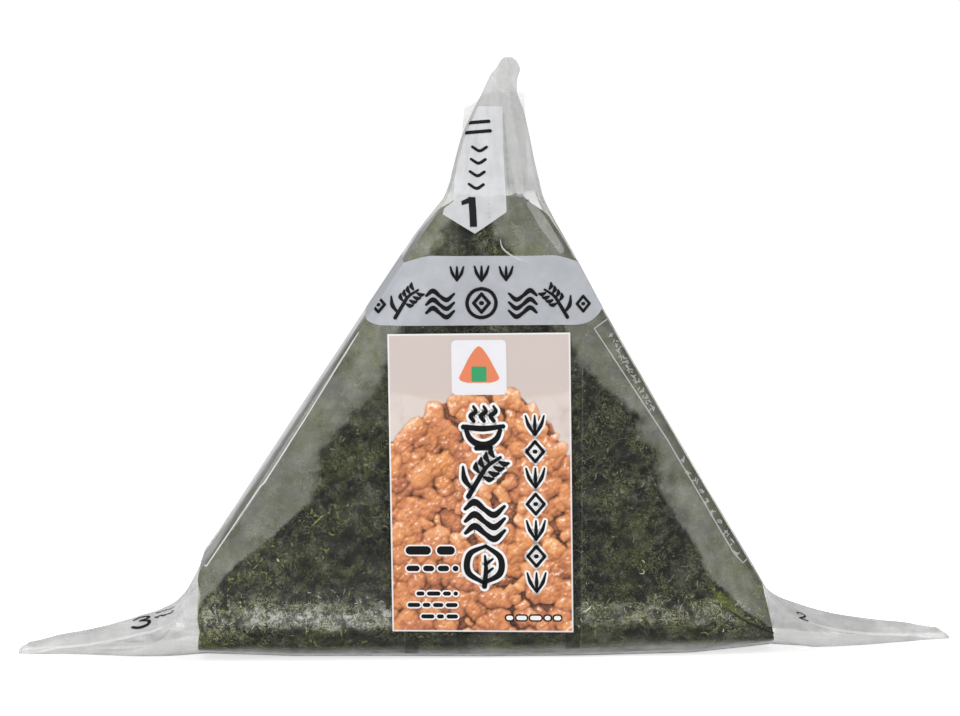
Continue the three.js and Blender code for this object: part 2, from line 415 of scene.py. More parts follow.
# %% The haze of a face
def face_haze(x, height, seed):
    """0 where the film clings, 1 near the folds, more at the base edge and on the neck; frayed by noise between."""
    fray = FRAY * patchy(x, height, 3.2, seed, 3) + 0.5 * patchy(x, height, 0.9, seed + 5, 2)
    soft = mix(0.6, 2.2, smooth((height - 24.0) / 12.0))
    haze = 0.0
    for end, stations in ((-1, LOOSE_LEFT), (1, LOOSE_RIGHT)):
        inside = end * (fold_line(height, end) - x)
        width = read_table(height, stations)
        loose = 1.0 - smooth((inside - width + fray * mix(0.5, 1.5, smooth((height - 24.0) / 12.0))) / soft + 0.5)
        thinner = 0.4 * smooth((2.6 - inside) / 1.6) * (end > 0)
        thinner = thinner + 0.14 * bump_between(height, 25.0, 43.0, 6.0) * (end < 0)
        loose = loose * (1.0 - thinner)
        beyond = smooth((end * (x - seaweed_edge(height, end)) + 0.15) / 0.3)
        past_edge = (1.7 if end < 0 else 1.85) * beyond * (height < SHOULDER)
        touch = smooth((patchy(x, height, 4.2, seed + 21, 4) - 0.22) / 0.2) * smooth((74.0 - height) / 4.0)
        haze = np.maximum(haze, np.maximum(loose * (1.0 - 0.3 * touch), past_edge))
    strip_top = 0.8 + 0.35 * patchy(x, height, 7.0, seed + 8, 2) + 0.35 * smooth((x - 8.0) / 25.0)
    base_strip = 2.1 * (1.0 - smooth((height - strip_top) / 3.2))
    # Grey patches of haze on the clinging film are a painted sheen.
    grey_sheen = 0.45 * np.maximum(0.0, patchy(x, height * 1.6, 7.0, seed + 25, 4) - 0.1)
    grey_sheen = grey_sheen + 0.1 * (1 - smooth((height - 4.5) / 1.5))
    neck_right = 0.43 * smooth((x - mix(1.8, 7.5, np.clip((77.5 - height) / 4.5, 0, 1)) + 0.4 * fray) / 1.2)
    neck_right = neck_right * smooth((height - 72.0) / 1.5)
    pleats = 0.14 * patchy(x * 1.3 + 0.05 * height, height * 0.1, 1.5, seed + 13, 2)
    gathered = (1.6 + pleats) * smooth((height - 83.8 + 0.9 * fray) / 1.0)
    return np.maximum.reduce([haze, base_strip, grey_sheen, neck_right, gathered])


print("loose width in mm at mid height", round(float(read_table(40, LOOSE_LEFT)), 1))


# %% Wrinkles of the loose film
def film_wrinkle(x, height, haze, seed):
    """How far the film stands out, in mm: long soft folds where it is loose, and next to nothing where it clings."""
    along = height + 0.9 * np.abs(x)
    long_folds = 0.34 * patchy(along, (x - 0.6 * np.tanh(x / 6.0) * height) * 2.2, 14.0, seed, 2)
    small_folds = 0.10 * patchy(x, height, 2.6, seed + 3, 2)
    pleats = 0.2 * patchy(x + 0.06 * height, height * 0.13, 2.1, seed + 17, 2) * smooth((height - 82.0) / 4.0)
    wrinkle = np.minimum(haze, 1.0) * (long_folds + small_folds + pleats)
    return np.clip(wrinkle + 0.06 * haze + 0.025 * patchy(x, height, 1.6, seed + 7, 2), -0.25, 0.6)


def fold_fade(section, across):
    """1 on the face, easing to 0 at its folds and at the very top and base, so that neighbouring skins meet."""
    edge = smooth((1.0 - np.abs(across)) * section["fold_x"] / 2.0)
    return edge * smooth(section["height"] / 3.0) * smooth((FILM_TOP - section["height"]) / 3.0)


# %% How the base and the ears lie on the table
BASE_LIFT = np.array((
    (-88.0, -1.15), (-80.0, -0.95), (-72.0, -0.55), (-64.0, 0.0), (-57.0, 0.7), (-51.0, 1.4), (-43.5, 1.05),
    (-35.0, 0.65), (-18.0, 0.42), (-6.6, 0.22), (0.0, 0.1), (17.0, 0.0), (38.0, 0.25), (48.6, 1.22),
    (53.0, 1.7), (58.0, 1.1), (64.0, 0.2), (72.0, -0.5), (80.0, -0.8), (90.0, -0.7),
))


def base_lift(x, height):
    """How far the lowest rows stand up in mm: the bottom corners curl up, and the ears hang down at their tips."""
    reach = mix(5.0, 1.0, smooth((np.abs(x) - 52.0) / 10.0))
    return read_table(x, BASE_LIFT) * (1.0 - smooth(height / reach))


# %% One formula for every part of the film
def film_surface(part, height, along, lift=0.0):
    """Points and haze of one part of the film. Height and along have one shape; lift moves the points outwards.

    On the front and back, along runs from -1 at the left fold to 1 at the right one. On the left and right
    narrow sides it runs from 0 at the front fold to 1 at the back one.
    """
    height, along = np.broadcast_arrays(np.asarray(height, float), np.asarray(along, float))
    section = sections(height)
    seed = {"front": 11, "back": 47, "left": 83, "right": 91}[part]
    if part in ("front", "back"):
        side = -1 if part == "front" else 1
        points = face_points(section, side, along)
        haze = face_haze(points[..., 0], points[..., 2], seed)
        wrinkle = film_wrinkle(points[..., 0], points[..., 2], haze, seed + 60) * fold_fade(section, along)
        points[..., 1] += side * (wrinkle + lift)
    else:
        end = -1 if part == "left" else 1
        points = side_points(section, end, along)
        arch = 4 * along * (1 - along)
        # On the narrow sides the haze rises from the front fold towards the back one and runs in streaks; with the
        # whitening of the film at high haze, part of this is a painted highlight towards the back fold.
        on_slope = smooth((height - 20.0) / 8.0) * smooth((80.0 - height) / 8.0)
        streaks = patchy(height * 0.14, points[..., 1], 1.7, seed, 3)
        haze = (1.75 if end < 0 else 1.9) + on_slope * (mix(-0.7, 1.35, smooth(along * 1.4)) + 0.5 * streaks)
        flat = smooth(section["out"] * 3)
        run = np.hypot(points[..., 0], points[..., 2])
        wrinkle = (0.06 + 0.1 * patchy(run, points[..., 1] * 1.8, 11.0, seed + 1, 2)) * arch + lift
        points[..., 0] += end * mix(0.85, 0.12, flat) * wrinkle
        points[..., 2] += mix(0.53, 0.99, flat) * wrinkle
    cut = 1.5 * smooth((4.9 - points[..., 0]) / 2.6) + 0.8 * smooth((points[..., 0] - 5.6) / 1.4)
    points[..., 2] -= cut * smooth((height - 105.0) / 4.3)
    points[..., 2] = np.maximum(points[..., 2] + base_lift(points[..., 0], height), 0.02)
    return points, haze


def film_point(x, z, part="front", lift=0.0):
    """The point of the front or back film at a given X and height, used to lay print on it."""
    section = sections(z)
    along = np.clip((x - section["centre"]) / section["fold_x"], -1.0, 1.0)
    return film_surface(part, z, along, lift)[0]


print("middle of the front film at 40 mm", film_point(0.0, 40.0).round(2))


# %% Covers for the open ends
def ring_cover(ring, face_columns, side_columns):
    """A cover over one closed ring: straight strips from the front line to the back line, ends on the side lines."""
    back = ring[face_columns + side_columns : 2 * face_columns + side_columns + 1][::-1]
    share = np.linspace(0, 1, side_columns + 1)[None, :, None]
    cover = mix(ring[: face_columns + 1][:, None], back[:, None], share)
    cover[0] = np.concatenate([ring[:1], ring[2 * face_columns + side_columns :][::-1]])
    cover[-1] = ring[face_columns : face_columns + side_columns + 1]
    return cover


# %% [markdown]
# ## Tools for materials
# A material is a small graph. These two helpers keep the graphs readable: one adds a node and fills its inputs
# with numbers or with links, and the other starts a material with a single Principled shader.


# %% Node helpers
def node(tree, kind, inputs=None, **settings):
    """Adds a node; an input given as a socket is linked, and any other value is set on the input."""
    made = tree.nodes.new(kind)
    for key, value in settings.items():
        setattr(made, key, value)
    for key, value in (inputs or {}).items():
        if isinstance(value, bpy.types.NodeSocket):
            tree.links.new(value, made.inputs[key])
        else:
            made.inputs[key].default_value = value
    return made


def maths(tree, operation, *values):
    """One Math node; the result socket comes back."""
    return node(tree, "ShaderNodeMath", dict(enumerate(values)), operation=operation).outputs[0]


def remap(tree, value, low, high, to_low=0.0, to_high=1.0):
    """A smooth step of a value from low..high to to_low..to_high."""
    settings = {"Value": value, "From Min": low, "From Max": high, "To Min": to_low, "To Max": to_high}
    return node(tree, "ShaderNodeMapRange", settings, interpolation_type="SMOOTHSTEP").outputs["Result"]


def blend_colours(tree, factor, first, second):
    """Mixes two colours by a factor."""
    made = node(tree, "ShaderNodeMix", {"Factor": factor}, data_type="RGBA")
    for socket, value in ((made.inputs[6], first), (made.inputs[7], second)):
        if isinstance(value, bpy.types.NodeSocket):
            tree.links.new(value, socket)
        else:
            socket.default_value = (*value, 1.0)
    return made.outputs[2]


def noise(tree, vector, scale, detail=3.0, roughness=0.55):
    """Noise texture value at a scale given in cycles per metre."""
    inputs = {"Vector": vector, "Scale": scale, "Detail": detail, "Roughness": roughness}
    return node(tree, "ShaderNodeTexNoise", inputs).outputs["Fac"]


# %% Groups, materials and coordinates
def new_group(name, inputs, outputs):
    """An empty shader group with named sockets; its tree, input node and output node come back."""
    tree = bpy.data.node_groups.new(name, "ShaderNodeTree")
    for key, kind in inputs.items():
        tree.interface.new_socket(key, in_out="INPUT", socket_type=kind)
    for key, kind in outputs.items():
        tree.interface.new_socket(key, in_out="OUTPUT", socket_type=kind)
    return tree, tree.nodes.new("NodeGroupInput"), tree.nodes.new("NodeGroupOutput")


def new_material(name, **sockets):
    """A material with one Principled shader whose plain numbers are given by name."""
    material = bpy.data.materials.new(name)
    material.use_nodes = True
    tree = material.node_tree
    shader = tree.nodes["Principled BSDF"]
    for key, value in sockets.items():
        shader.inputs[key.replace("_", " ")].default_value = value
    return material, tree, shader


def use_group(tree, group, inputs):
    """Places a shader group and fills its inputs by name; its output sockets come back."""
    return node(tree, "ShaderNodeGroup", inputs, node_tree=group).outputs


def object_coordinates(tree):
    """Place on the piece in metres, so that a pattern stays on it in every view."""
    return node(tree, "ShaderNodeTexCoord").outputs["Object"]


# %% [markdown]
# ## Finish of the film
# Packing film is thin, so it is shown by its opacity: a clinging film is nearly invisible, and loose film is
# a grey mist of less than half opacity. The haze attribute says which is which. Fine patches are added, because
# the film touches the uneven seaweed in spots a millimetre across. Where the sheen attribute is high, pale glints
# and thin curled lines are painted in: a painted highlight for the leaf edges that shine through. Where the haze
# is highest the colour turns whiter, for thick film and in part as a painted highlight on the narrow sides.


# %% Film: a group for the spots, then the material
def curled_fibres(tree, vector, scale, width, patch):
    """Thin curled lines: where a twisted noise passes through its middle value, in patches here and there."""
    twist = {"Vector": vector, "Scale": scale, "Detail": 2.0, "Distortion": 1.8}
    curl = node(tree, "ShaderNodeTexNoise", twist).outputs["Fac"]
    off_line = maths(tree, "ABSOLUTE", maths(tree, "SUBTRACT", curl, 0.5))
    some = remap(tree, noise(tree, vector, patch, 2.0, 0.5), 0.47, 0.58)
    return maths(tree, "MULTIPLY", remap(tree, off_line, width * 0.3, width, 1.0, 0.0), some)


def make_cling_spots():
    """Opacity from haze, raised where the film bridges dents and where the sheen paints glints; a faint height too.
    """
    tree, given, result = new_group(
        "cling_spots",
        {
            "Vector": "NodeSocketVector",
            "Haze": "NodeSocketFloat",
            "Sheen": "NodeSocketFloat",
            "Clear": "NodeSocketFloat",
            "Misty": "NodeSocketFloat",
        },
        {"Alpha": "NodeSocketFloat", "Height": "NodeSocketFloat", "Sheen_Glints": "NodeSocketFloat"},
    )
    spots = remap(tree, noise(tree, given.outputs["Vector"], 620.0, 4.0, 0.6), 0.50, 0.72)
    wide = remap(tree, noise(tree, given.outputs["Vector"], 120.0, 2.0), 0.38, 0.66, 0.35, 1.0)
    clings = remap(tree, given.outputs["Haze"], 0.2, 1.0, 0.15, 0.02)
    bridged = maths(tree, "MULTIPLY", maths(tree, "MULTIPLY", spots, wide), clings)
    clear = maths(tree, "ADD", given.outputs["Clear"], bridged)
    span = maths(tree, "SUBTRACT", given.outputs["Misty"], clear)
    mottle = remap(tree, noise(tree, given.outputs["Vector"], 170.0, 7.0, 0.66), 0.30, 0.70, 0.66, 1.22)
    misted = maths(tree, "MULTIPLY", given.outputs["Haze"], mottle)
    alpha = maths(tree, "ADD", clear, maths(tree, "MULTIPLY", span, misted))
    # Painted highlight of the belly sheen: pale glints and curled lines, scaled by the Sheen input.
    sheen_glints = remap(tree, noise(tree, given.outputs["Vector"], 520.0, 7.0, 0.74), 0.46, 0.66, 0.2, 0.82)
    wisps = curled_fibres(tree, given.outputs["Vector"], 900.0, 0.06, 520.0)
    sheen_glints = maths(tree, "MAXIMUM", sheen_glints, wisps)
    sheen_glints = maths(tree, "MULTIPLY", sheen_glints, given.outputs["Sheen"])
    alpha = maths(tree, "MAXIMUM", alpha, maths(tree, "ADD", maths(tree, "MULTIPLY", sheen_glints, 0.72), clear))
    soft = noise(tree, given.outputs["Vector"], 260.0, 2.0, 0.5)
    tree.links.new(alpha, result.inputs["Alpha"])
    tree.links.new(soft, result.inputs["Height"])
    tree.links.new(sheen_glints, result.inputs["Sheen_Glints"])
    return tree


cling_spots = make_cling_spots()
print("film group sockets", [item.name for item in cling_spots.interface.items_tree])


# %% Film materials
def make_film(name, colour, near_seaweed, thick, clear, misty, roughness):
    """Film with alpha from haze through the spot group: greener near the seaweed, whiter at high haze, which is thick
    film and partly a painted highlight, and pale at the sheen's painted glints.
    """
    material, tree, shader = new_material(name, Roughness=roughness, IOR=1.5)
    haze = node(tree, "ShaderNodeAttribute", attribute_name="haze").outputs["Fac"]
    sheen = node(tree, "ShaderNodeAttribute", attribute_name="sheen").outputs["Fac"]
    given = {"Vector": object_coordinates(tree), "Haze": haze, "Sheen": sheen, "Clear": clear, "Misty": misty}
    made = use_group(tree, cling_spots, given)
    tree.links.new(made["Alpha"], shader.inputs["Alpha"])
    green = remap(tree, noise(tree, object_coordinates(tree), 260.0, 7.0, 0.7), 0.42, 0.62, 0.38, 0.88)
    green = maths(tree, "MULTIPLY", green, remap(tree, haze, 1.05, 1.4, 1.0, 0.0))
    tinted = blend_colours(tree, green, colour, near_seaweed)
    # Whiter at high haze: thick film, and in part a painted highlight on the lit narrow sides.
    whitened = blend_colours(tree, remap(tree, haze, 1.95, 3.0, 0.0, 1.0), tinted, thick)
    # Painted highlight: the colour turns pale where the sheen's glints are high.
    shining = blend_colours(tree, remap(tree, made["Sheen_Glints"], 0.0, 0.35, 0.0, 0.95), whitened, SHEEN_GLINT_COLOUR)
    tree.links.new(shining, shader.inputs["Base Color"])
    bump = node(tree, "ShaderNodeBump", {"Height": made["Height"], "Strength": 0.25, "Distance": 0.0004})
    tree.links.new(bump.outputs["Normal"], shader.inputs["Normal"])
    return material


SHEEN_GLINT_COLOUR = (0.71, 0.72, 0.645)
THICK_AND_LIT_FILM, INNER_COLOUR = (0.80, 0.80, 0.80), (0.74, 0.74, 0.735)
outer_film = make_film("outer_film", (0.52, 0.52, 0.515), (0.37, 0.39, 0.24), THICK_AND_LIT_FILM, 0.010, 0.37, 0.34)
inner_film = make_film("inner_film", INNER_COLOUR, INNER_COLOUR, THICK_AND_LIT_FILM, 0.05, 0.26, 0.22)
print("film materials", outer_film.name, inner_film.name)

# %% [markdown]
# ## Finish of the seaweed
# A sheet of dried seaweed is a felt of tiny leaves: almost black where it is thick, olive where it is thin, with
# pale green specks, painted as glints where its curled fibres catch light, and a crumpled, slightly glossy surface.
# The film that clings to it adds a thin shine, which the shader's specular level and roughness give here.


# %% Seaweed: a group for the felt, then the material
def make_seaweed_felt():
    """Colour and height of pressed seaweed: thick dark and thin olive areas, with curled pale fibres painted over
    them as glints where Glint is high.
    """
    tree, given, result = new_group(
        "seaweed_felt",
        {
            "Vector": "NodeSocketVector",
            "Dark": "NodeSocketColor",
            "Olive": "NodeSocketColor",
            "Glint_Colour": "NodeSocketColor",
            "Glint": "NodeSocketFloat",
        },
        {"Color": "NodeSocketColor", "Height": "NodeSocketFloat", "Gloss": "NodeSocketFloat"},
    )
    vector = given.outputs["Vector"]
    slow = noise(tree, vector, 70.0, 2.0, 0.5)
    broad = noise(tree, vector, 230.0, 4.0, 0.6)
    leaf = noise(tree, vector, 800.0, 7.0, 0.7)
    thin = maths(tree, "ADD", maths(tree, "MULTIPLY", broad, 0.5), maths(tree, "MULTIPLY", leaf, 0.5))
    thin = maths(tree, "ADD", thin, maths(tree, "MULTIPLY", slow, 0.5))
    colour = blend_colours(tree, remap(tree, thin, 0.735, 0.915), given.outputs["Dark"], given.outputs["Olive"])
    fine = curled_fibres(tree, vector, 1700.0, 0.06, 420.0)
    long = curled_fibres(tree, vector, 760.0, 0.026, 230.0)
    fibres = maths(tree, "MAXIMUM", maths(tree, "MULTIPLY", fine, 0.6), long)
    # Painted highlight: the pale fibres show where the Glint input says they catch light.
    lit = maths(tree, "MULTIPLY", fibres, given.outputs["Glint"])
    colour = blend_colours(tree, maths(tree, "MINIMUM", lit, 1.0), colour, given.outputs["Glint_Colour"])
    height = maths(tree, "ADD", leaf, maths(tree, "MULTIPLY", maths(tree, "MAXIMUM", fine, long), 0.3))
    tree.links.new(colour, result.inputs["Color"])
    tree.links.new(height, result.inputs["Height"])
    tree.links.new(remap(tree, leaf, 0.4, 0.7, 0.72, 0.42), result.inputs["Gloss"])
    return tree


seaweed_felt = make_seaweed_felt()
print("felt group sockets", [item.name for item in seaweed_felt.interface.items_tree])


# %% Seaweed material
def make_seaweed():
    """Pressed seaweed: the felt gives colour, roughness and relief, and glint says where its fibres catch light."""
    material, tree, shader = new_material("pressed_seaweed", Specular_IOR_Level=0.32)
    glint = node(tree, "ShaderNodeAttribute", attribute_name="glint").outputs["Fac"]
    made = use_group(
        tree,
        seaweed_felt,
        {
            "Vector": object_coordinates(tree),
            "Dark": (0.005, 0.006, 0.004, 1.0),
            "Olive": (0.041, 0.049, 0.012, 1.0),
            "Glint_Colour": (0.52, 0.54, 0.30, 1.0),
            "Glint": glint,
        },
    )
    bump = node(tree, "ShaderNodeBump", {"Height": made["Height"], "Strength": 0.9, "Distance": 0.0004})
    tree.links.new(made["Color"], shader.inputs["Base Color"])
    tree.links.new(made["Gloss"], shader.inputs["Roughness"])
    tree.links.new(bump.outputs["Normal"], shader.inputs["Normal"])
    return material


pressed_seaweed = make_seaweed()
print("seaweed material", pressed_seaweed.name)

# %% [markdown]
# ## The seaweed round the rice
# The sheet covers the front, the base and the back, and its corners are turned over the slanted sides. It is made
# as one closed block: level sections again, but with upright cut edges at the bottom corners, a rounder base edge
# than the film, and a ragged top. Its relief is real geometry, because the sheet is crumpled by up to a third of
# a millimetre.

# %% Seaweed sections
SEAWEED_GAP = 0.62
SEAWEED_FLOOR = 0.25
SEAWEED_TOP = 84.2
SEAWEED_BASE_RADIUS = 7.4
SEAWEED_END_RADIUS = 1.4


def seaweed_depth(x, height):
    """Half depth of the block: the film's smooth face less a gap, with a rounder base edge."""
    section = sections(height)
    across = np.clip((x - section["centre"]) / section["fold_x"], -1.0, 1.0)
    film = face_points(section, 1, across)[..., 1] - section["lean"] - SEAWEED_GAP
    return np.minimum(face_depth(height - SEAWEED_FLOOR, SEAWEED_BASE_RADIUS, PACK_THICKNESS / 2 - SEAWEED_GAP), film)


def seaweed_relief(x, height, seed):
    """Crumple of the sheet in mm: slow dents, leafy lumps of 1 to 3 mm, and the crease of the bottom right corner."""
    dents = 0.16 * patchy(x, height, 9.0, seed, 2)
    leaves = 0.15 * patchy(x, height, 2.2, seed + 2, 3)
    from_crease = height - (7.4 - 0.49 * (x - 46.5))
    crease = -0.5 * np.exp(-((from_crease / 0.5) ** 2)) * smooth((x - 44.0) / 3.0)
    return dents + leaves + crease


def seaweed_ring(height, face_columns, side_columns):
    """One closed ring per height: front from left to right, right side, back, left side."""
    height = height.reshape(-1, 1)
    section = sections(height)
    margin = mix(0.05, 0.3, smooth((height - 14.0) / 4.0))
    left = np.maximum(seaweed_edge(height, -1), section["centre"] - section["fold_x"]) + margin
    right = np.minimum(seaweed_edge(height, 1), section["centre"] + section["fold_x"]) - margin
    top_round = smooth((SEAWEED_TOP - height) / 4.0)
    middle, half = (left + right) / 2, (right - left) / 2 * mix(0.8, 1.0, top_round)
    parts = []
    across = np.linspace(-1, 1, face_columns, endpoint=False)[None, :]
    share = np.linspace(0, 1, side_columns, endpoint=False)[None, :]

    def end_depth(along):
        """Depth beside the upright end: a quarter circle of the end radius, on top of the face depth."""
        under = np.clip(SEAWEED_END_RADIUS - (1 - np.abs(along)) * half, 0, SEAWEED_END_RADIUS)
        round_end = SEAWEED_END_RADIUS - np.sqrt(SEAWEED_END_RADIUS**2 - under**2 * 0.85)
        return seaweed_depth(middle + along * half, height) - round_end

    inset = read_table(height, BACK_LEFT_INSET)
    for side in (-1, 1):
        along = across if side < 0 else -across
        x = middle + along * half + inset * np.clip(-along, 0.0, 1.0) * (side > 0)
        relief = seaweed_relief(x, height, 300 if side < 0 else 340) * top_round
        y = side * (end_depth(along) + relief * smooth((1 - np.abs(along)) * half / 1.5))
        parts.append(np.stack([x, y, np.broadcast_to(height, x.shape)], axis=-1))
        end = 1 if side < 0 else -1
        corner = end_depth(np.full_like(height, float(end)))
        swing = mix(corner, -corner, share) * (-1 if side < 0 else 1)
        bulge = (0.05 + 0.1 * patchy(swing, height, 2.4, 380 + end, 3)) * 4 * share * (1 - share)
        x = middle + end * (half + bulge) + (inset * (1 - share) if end < 0 else 0.0)
        parts.append(np.stack([x, swing, np.broadcast_to(height, swing.shape)], axis=-1))
    return np.concatenate(parts, axis=1)


# %% The block of seaweed
def make_seaweed_block():
    """The block: rings from floor to top, closed by strips across the base and the top."""
    face_columns, side_columns = 210, 22
    level = np.linspace(0, 1, 170)
    height = SEAWEED_FLOOR + (SEAWEED_TOP - SEAWEED_FLOOR) * level ** 1.08
    ring = seaweed_ring(height, face_columns, side_columns)
    ragged = smooth((height[:, None] - 76.0) / 8.0)
    ring[..., 2] += ragged * (0.9 * patchy(ring[..., 0], ring[..., 1], 2.4, 71, 2) - 0.5)
    ring[..., 2] += base_lift(ring[..., 0], height[:, None] - SEAWEED_FLOOR)
    covers = [ring_cover(row, face_columns, side_columns) for row in (ring[0], ring[-1])]
    grids = [(ring, True, False), (covers[0], False, False), (covers[1], False, True)]
    belly = bump_between(ring[..., 2] + 0.8 * patchy(ring[..., 0], ring[..., 2], 5.0, 77, 2), 6.6, 11.6, 2.2)
    loose_top = smooth((ring[..., 2] - 71.0) / 4.0)
    corner = smooth((-38.0 - ring[..., 0]) / 14.0) * smooth((24.0 - ring[..., 2]) / 14.0)
    patches = 0.5 + 0.5 * patchy(ring[..., 0], ring[..., 2], 8.0, 79, 2)
    # Glint scales the pale fibres painted as glints: a little everywhere, most along the belly, more at the top and
    # the lower left corner.
    glint = 0.22 + 0.3 * patches + 0.9 * belly + 0.15 * loose_top + 0.5 * corner
    return skin("seaweed_wrap", grids, pressed_seaweed, {"glint": [glint] + [np.zeros(c.shape[:2]) for c in covers]})


fit_out(make_seaweed_block(), "film_pack", "film_pack")

# %% [markdown]
# ## The outer film
# Four surfaces share their folds: front, right side, back and left side. Welded together, and closed across the
# base and the neck's end, they are one skin that runs from the pull tab to the tips of the ears.

# %% Outer film
FILM_FACE_COLUMNS = 190
FILM_SIDE_COLUMNS = 28


def film_heights():
    """Row heights: closer together at the ears, where each row is long, and in the neck."""
    ears = WING_TOP * np.linspace(0, 1, 46, endpoint=False) ** 1.25
    body = np.linspace(WING_TOP, SHOULDER, 84, endpoint=False)
    return np.concatenate([ears, body, np.linspace(SHOULDER, FILM_TOP, 62)])


def film_ring(height, face_columns, side_columns):
    """Rings round the film at some heights, with the haze and the sheen of every point."""
    face = np.linspace(-1, 1, face_columns, endpoint=False)[None, :]
    share = np.linspace(0, 1, side_columns, endpoint=False)[None, :]
    level = height[:, None]
    made = []
    for part, along in (("front", face), ("right", share), ("back", -face), ("left", 1 - share)):
        points, haze = film_surface(part, level, along)
        made.append((points, haze, belly_sheen(points[..., 0], level, 11) * (part in ("front", "back"))))
    return [np.concatenate(values, axis=1) for values in zip(*made)]


# %% The film as one skin
def make_outer_film():
    """Rings from the ears to the tab, closed by one cover across the base and one across the neck's end."""
    ring, haze, sheen = film_ring(film_heights(), FILM_FACE_COLUMNS, FILM_SIDE_COLUMNS)
    base = ring_cover(ring[0], FILM_FACE_COLUMNS, FILM_SIDE_COLUMNS)
    top = ring_cover(ring[-1], FILM_FACE_COLUMNS, FILM_SIDE_COLUMNS)
    grids = [(ring, True, False), (base, False, False), (top, False, True)]
    base_haze = np.full(base.shape[:2], 0.8)
    hazes = [haze, base_haze, np.ones(top.shape[:2])]
    return skin("outer_film", grids, outer_film, {"haze": hazes, "sheen": [sheen, 0 * base_haze, 0 * hazes[2]]})


fit_out(make_outer_film(), "film_pack", "film_pack")

# %% [markdown]
# ## Inner film at the neck
# The pack has a second, clearer film inside. It only shows where it sticks out beside the neck, as a pale
# rectangle with a slanted top edge. A thin two-sided sheet in the middle of the neck is enough.

# %% Inner film
INNER_FILM_LOW = 86.0


def make_inner_film():
    """A flat closed sheet: left and right edges nearly upright, top edge falling to the left."""
    across, up = np.meshgrid(np.linspace(0, 1, 24), np.linspace(0, 1, 30))
    left = mix(-4.4, -3.0, up)
    right = mix(8.6, 8.0, up)
    x = mix(left, right, across)
    top = mix(100.2, 102.9, smooth(across * 2.2))
    z = mix(INNER_FILM_LOW, top, up)
    y = 0.5 + 0.25 * patchy(x, z, 3.0, 501, 2) + 0.2
    front = np.stack([x, y - 0.03, z], axis=-1)
    back = np.stack([x, y + 0.03, z], axis=-1)
    haze = mix(1.6, 1.3, up)
    grids = [(front, False, False), (back, False, True)]
    return skin("inner_film_edge", grids, inner_film, {"haze": [haze, haze]}, weld=False)


fit_out(make_inner_film(), "film_pack", "film_pack")

# %% [markdown]
# ## Printing ink
# The print is a thin, nearly opaque ink. It is laid on the film as very thin surfaces that follow each fold and
# wrinkle, a few hundredths of a millimetre out, because a drawn edge then stays sharp at any size.


# %% Inks
def make_ink(name, colour, roughness=0.38, alpha=1.0, mottle=0.06):
    """Ink: a colour that varies slightly over the surface, as thin print on film does."""
    material, tree, shader = new_material(name, Roughness=roughness)
    value = remap(tree, noise(tree, object_coordinates(tree), 300.0, 3.0), 0.3, 0.7, 1 - mottle, 1 + mottle)
    tint = node(tree, "ShaderNodeHueSaturation", {"Value": value, "Color": (*colour, 1.0)})
    tree.links.new(tint.outputs["Color"], shader.inputs["Base Color"])
    shader.inputs["Alpha"].default_value = alpha
    return material


band_ink = make_ink("pale_band_ink", (0.435, 0.452, 0.485), 0.5, alpha=0.96)
tab_ink = make_ink("pale_tab_ink", (0.66, 0.67, 0.69), 0.5, alpha=0.78)
black_ink = make_ink("black_ink", (0.004, 0.004, 0.005), 0.6)
black_ink.node_tree.nodes["Principled BSDF"].inputs["Specular IOR Level"].default_value = 0.18
white_ink = make_ink("white_ink", (0.80, 0.80, 0.80), 0.4, 0.85)
dim_white_ink = make_ink("dim_white_ink", (0.75, 0.75, 0.75), 0.4, 0.5)
faint_ink = make_ink("faint_film_edge", (0.5, 0.5, 0.48), 0.4, 0.09)
flap_ink = make_ink("inner_flap_shade", (0.012, 0.013, 0.010), 0.4, 0.3)
crease_shine = make_ink("crease_shine", (0.95, 0.95, 0.95), 0.3, 0.5)
print("inks", [ink.name for ink in (band_ink, tab_ink, black_ink, white_ink, faint_ink)])


# %% Surfaces for print: strokes, strips and where they lie
def through_points(points, count):
    """A smooth curve through a few points (Catmull-Rom), sampled evenly in its parameter."""
    points = np.asarray(points, float)
    padded = np.concatenate([2 * points[:1] - points[1:2], points, 2 * points[-1:] - points[-2:-1]])
    place = np.linspace(0, len(points) - 1, count)
    index = np.minimum(place.astype(int), len(points) - 2)
    w = (place - index)[:, None]
    p0, p1, p2, p3 = (padded[index + k] for k in range(4))
    square = 2 * p1 + (p2 - p0) * w + (2 * p0 - 5 * p1 + 4 * p2 - p3) * w**2
    return 0.5 * (square + (3 * p1 - 3 * p2 + p3 - p0) * w**3)


def brush(points, widths, grow=0.0, count=26):
    """A stroke as a grid: a path with widths along it, made wider by grow on all sides, with round ends."""
    line = through_points(points, count)
    radius = np.interp(np.linspace(0, 1, count), np.linspace(0, 1, len(widths)), widths) / 2 + grow
    tangent = np.gradient(line, axis=0)
    tangent /= np.linalg.norm(tangent, axis=1, keepdims=True)
    turn = np.linspace(0, np.pi / 2, 7)[:-1]
    first = line[:1] - tangent[:1] * radius[0] * np.cos(turn)[:, None]
    last = line[-1:] + tangent[-1:] * radius[-1] * np.cos(turn)[::-1, None]
    line = np.concatenate([first, line, last])
    radius = np.concatenate([radius[0] * np.sin(turn), radius, radius[-1] * np.sin(turn)[::-1]])[:, None]
    tangent = np.concatenate([np.repeat(tangent[:1], 6, axis=0), tangent, np.repeat(tangent[-1:], 6, axis=0)])
    normal = np.stack([-tangent[:, 1], tangent[:, 0]], axis=1) * np.maximum(radius, 1e-3)
    return np.stack([line + normal, line, line - normal], axis=1)


# %% Arcs, ribbons, and print on the film
def arc(middle, radius, start, end, count=7):
    """Points on a circle's arc, angles in degrees."""
    turn = np.radians(np.linspace(start, end, count))
    return np.stack([middle[0] + radius * np.cos(turn), middle[1] + radius * np.sin(turn)], axis=1)


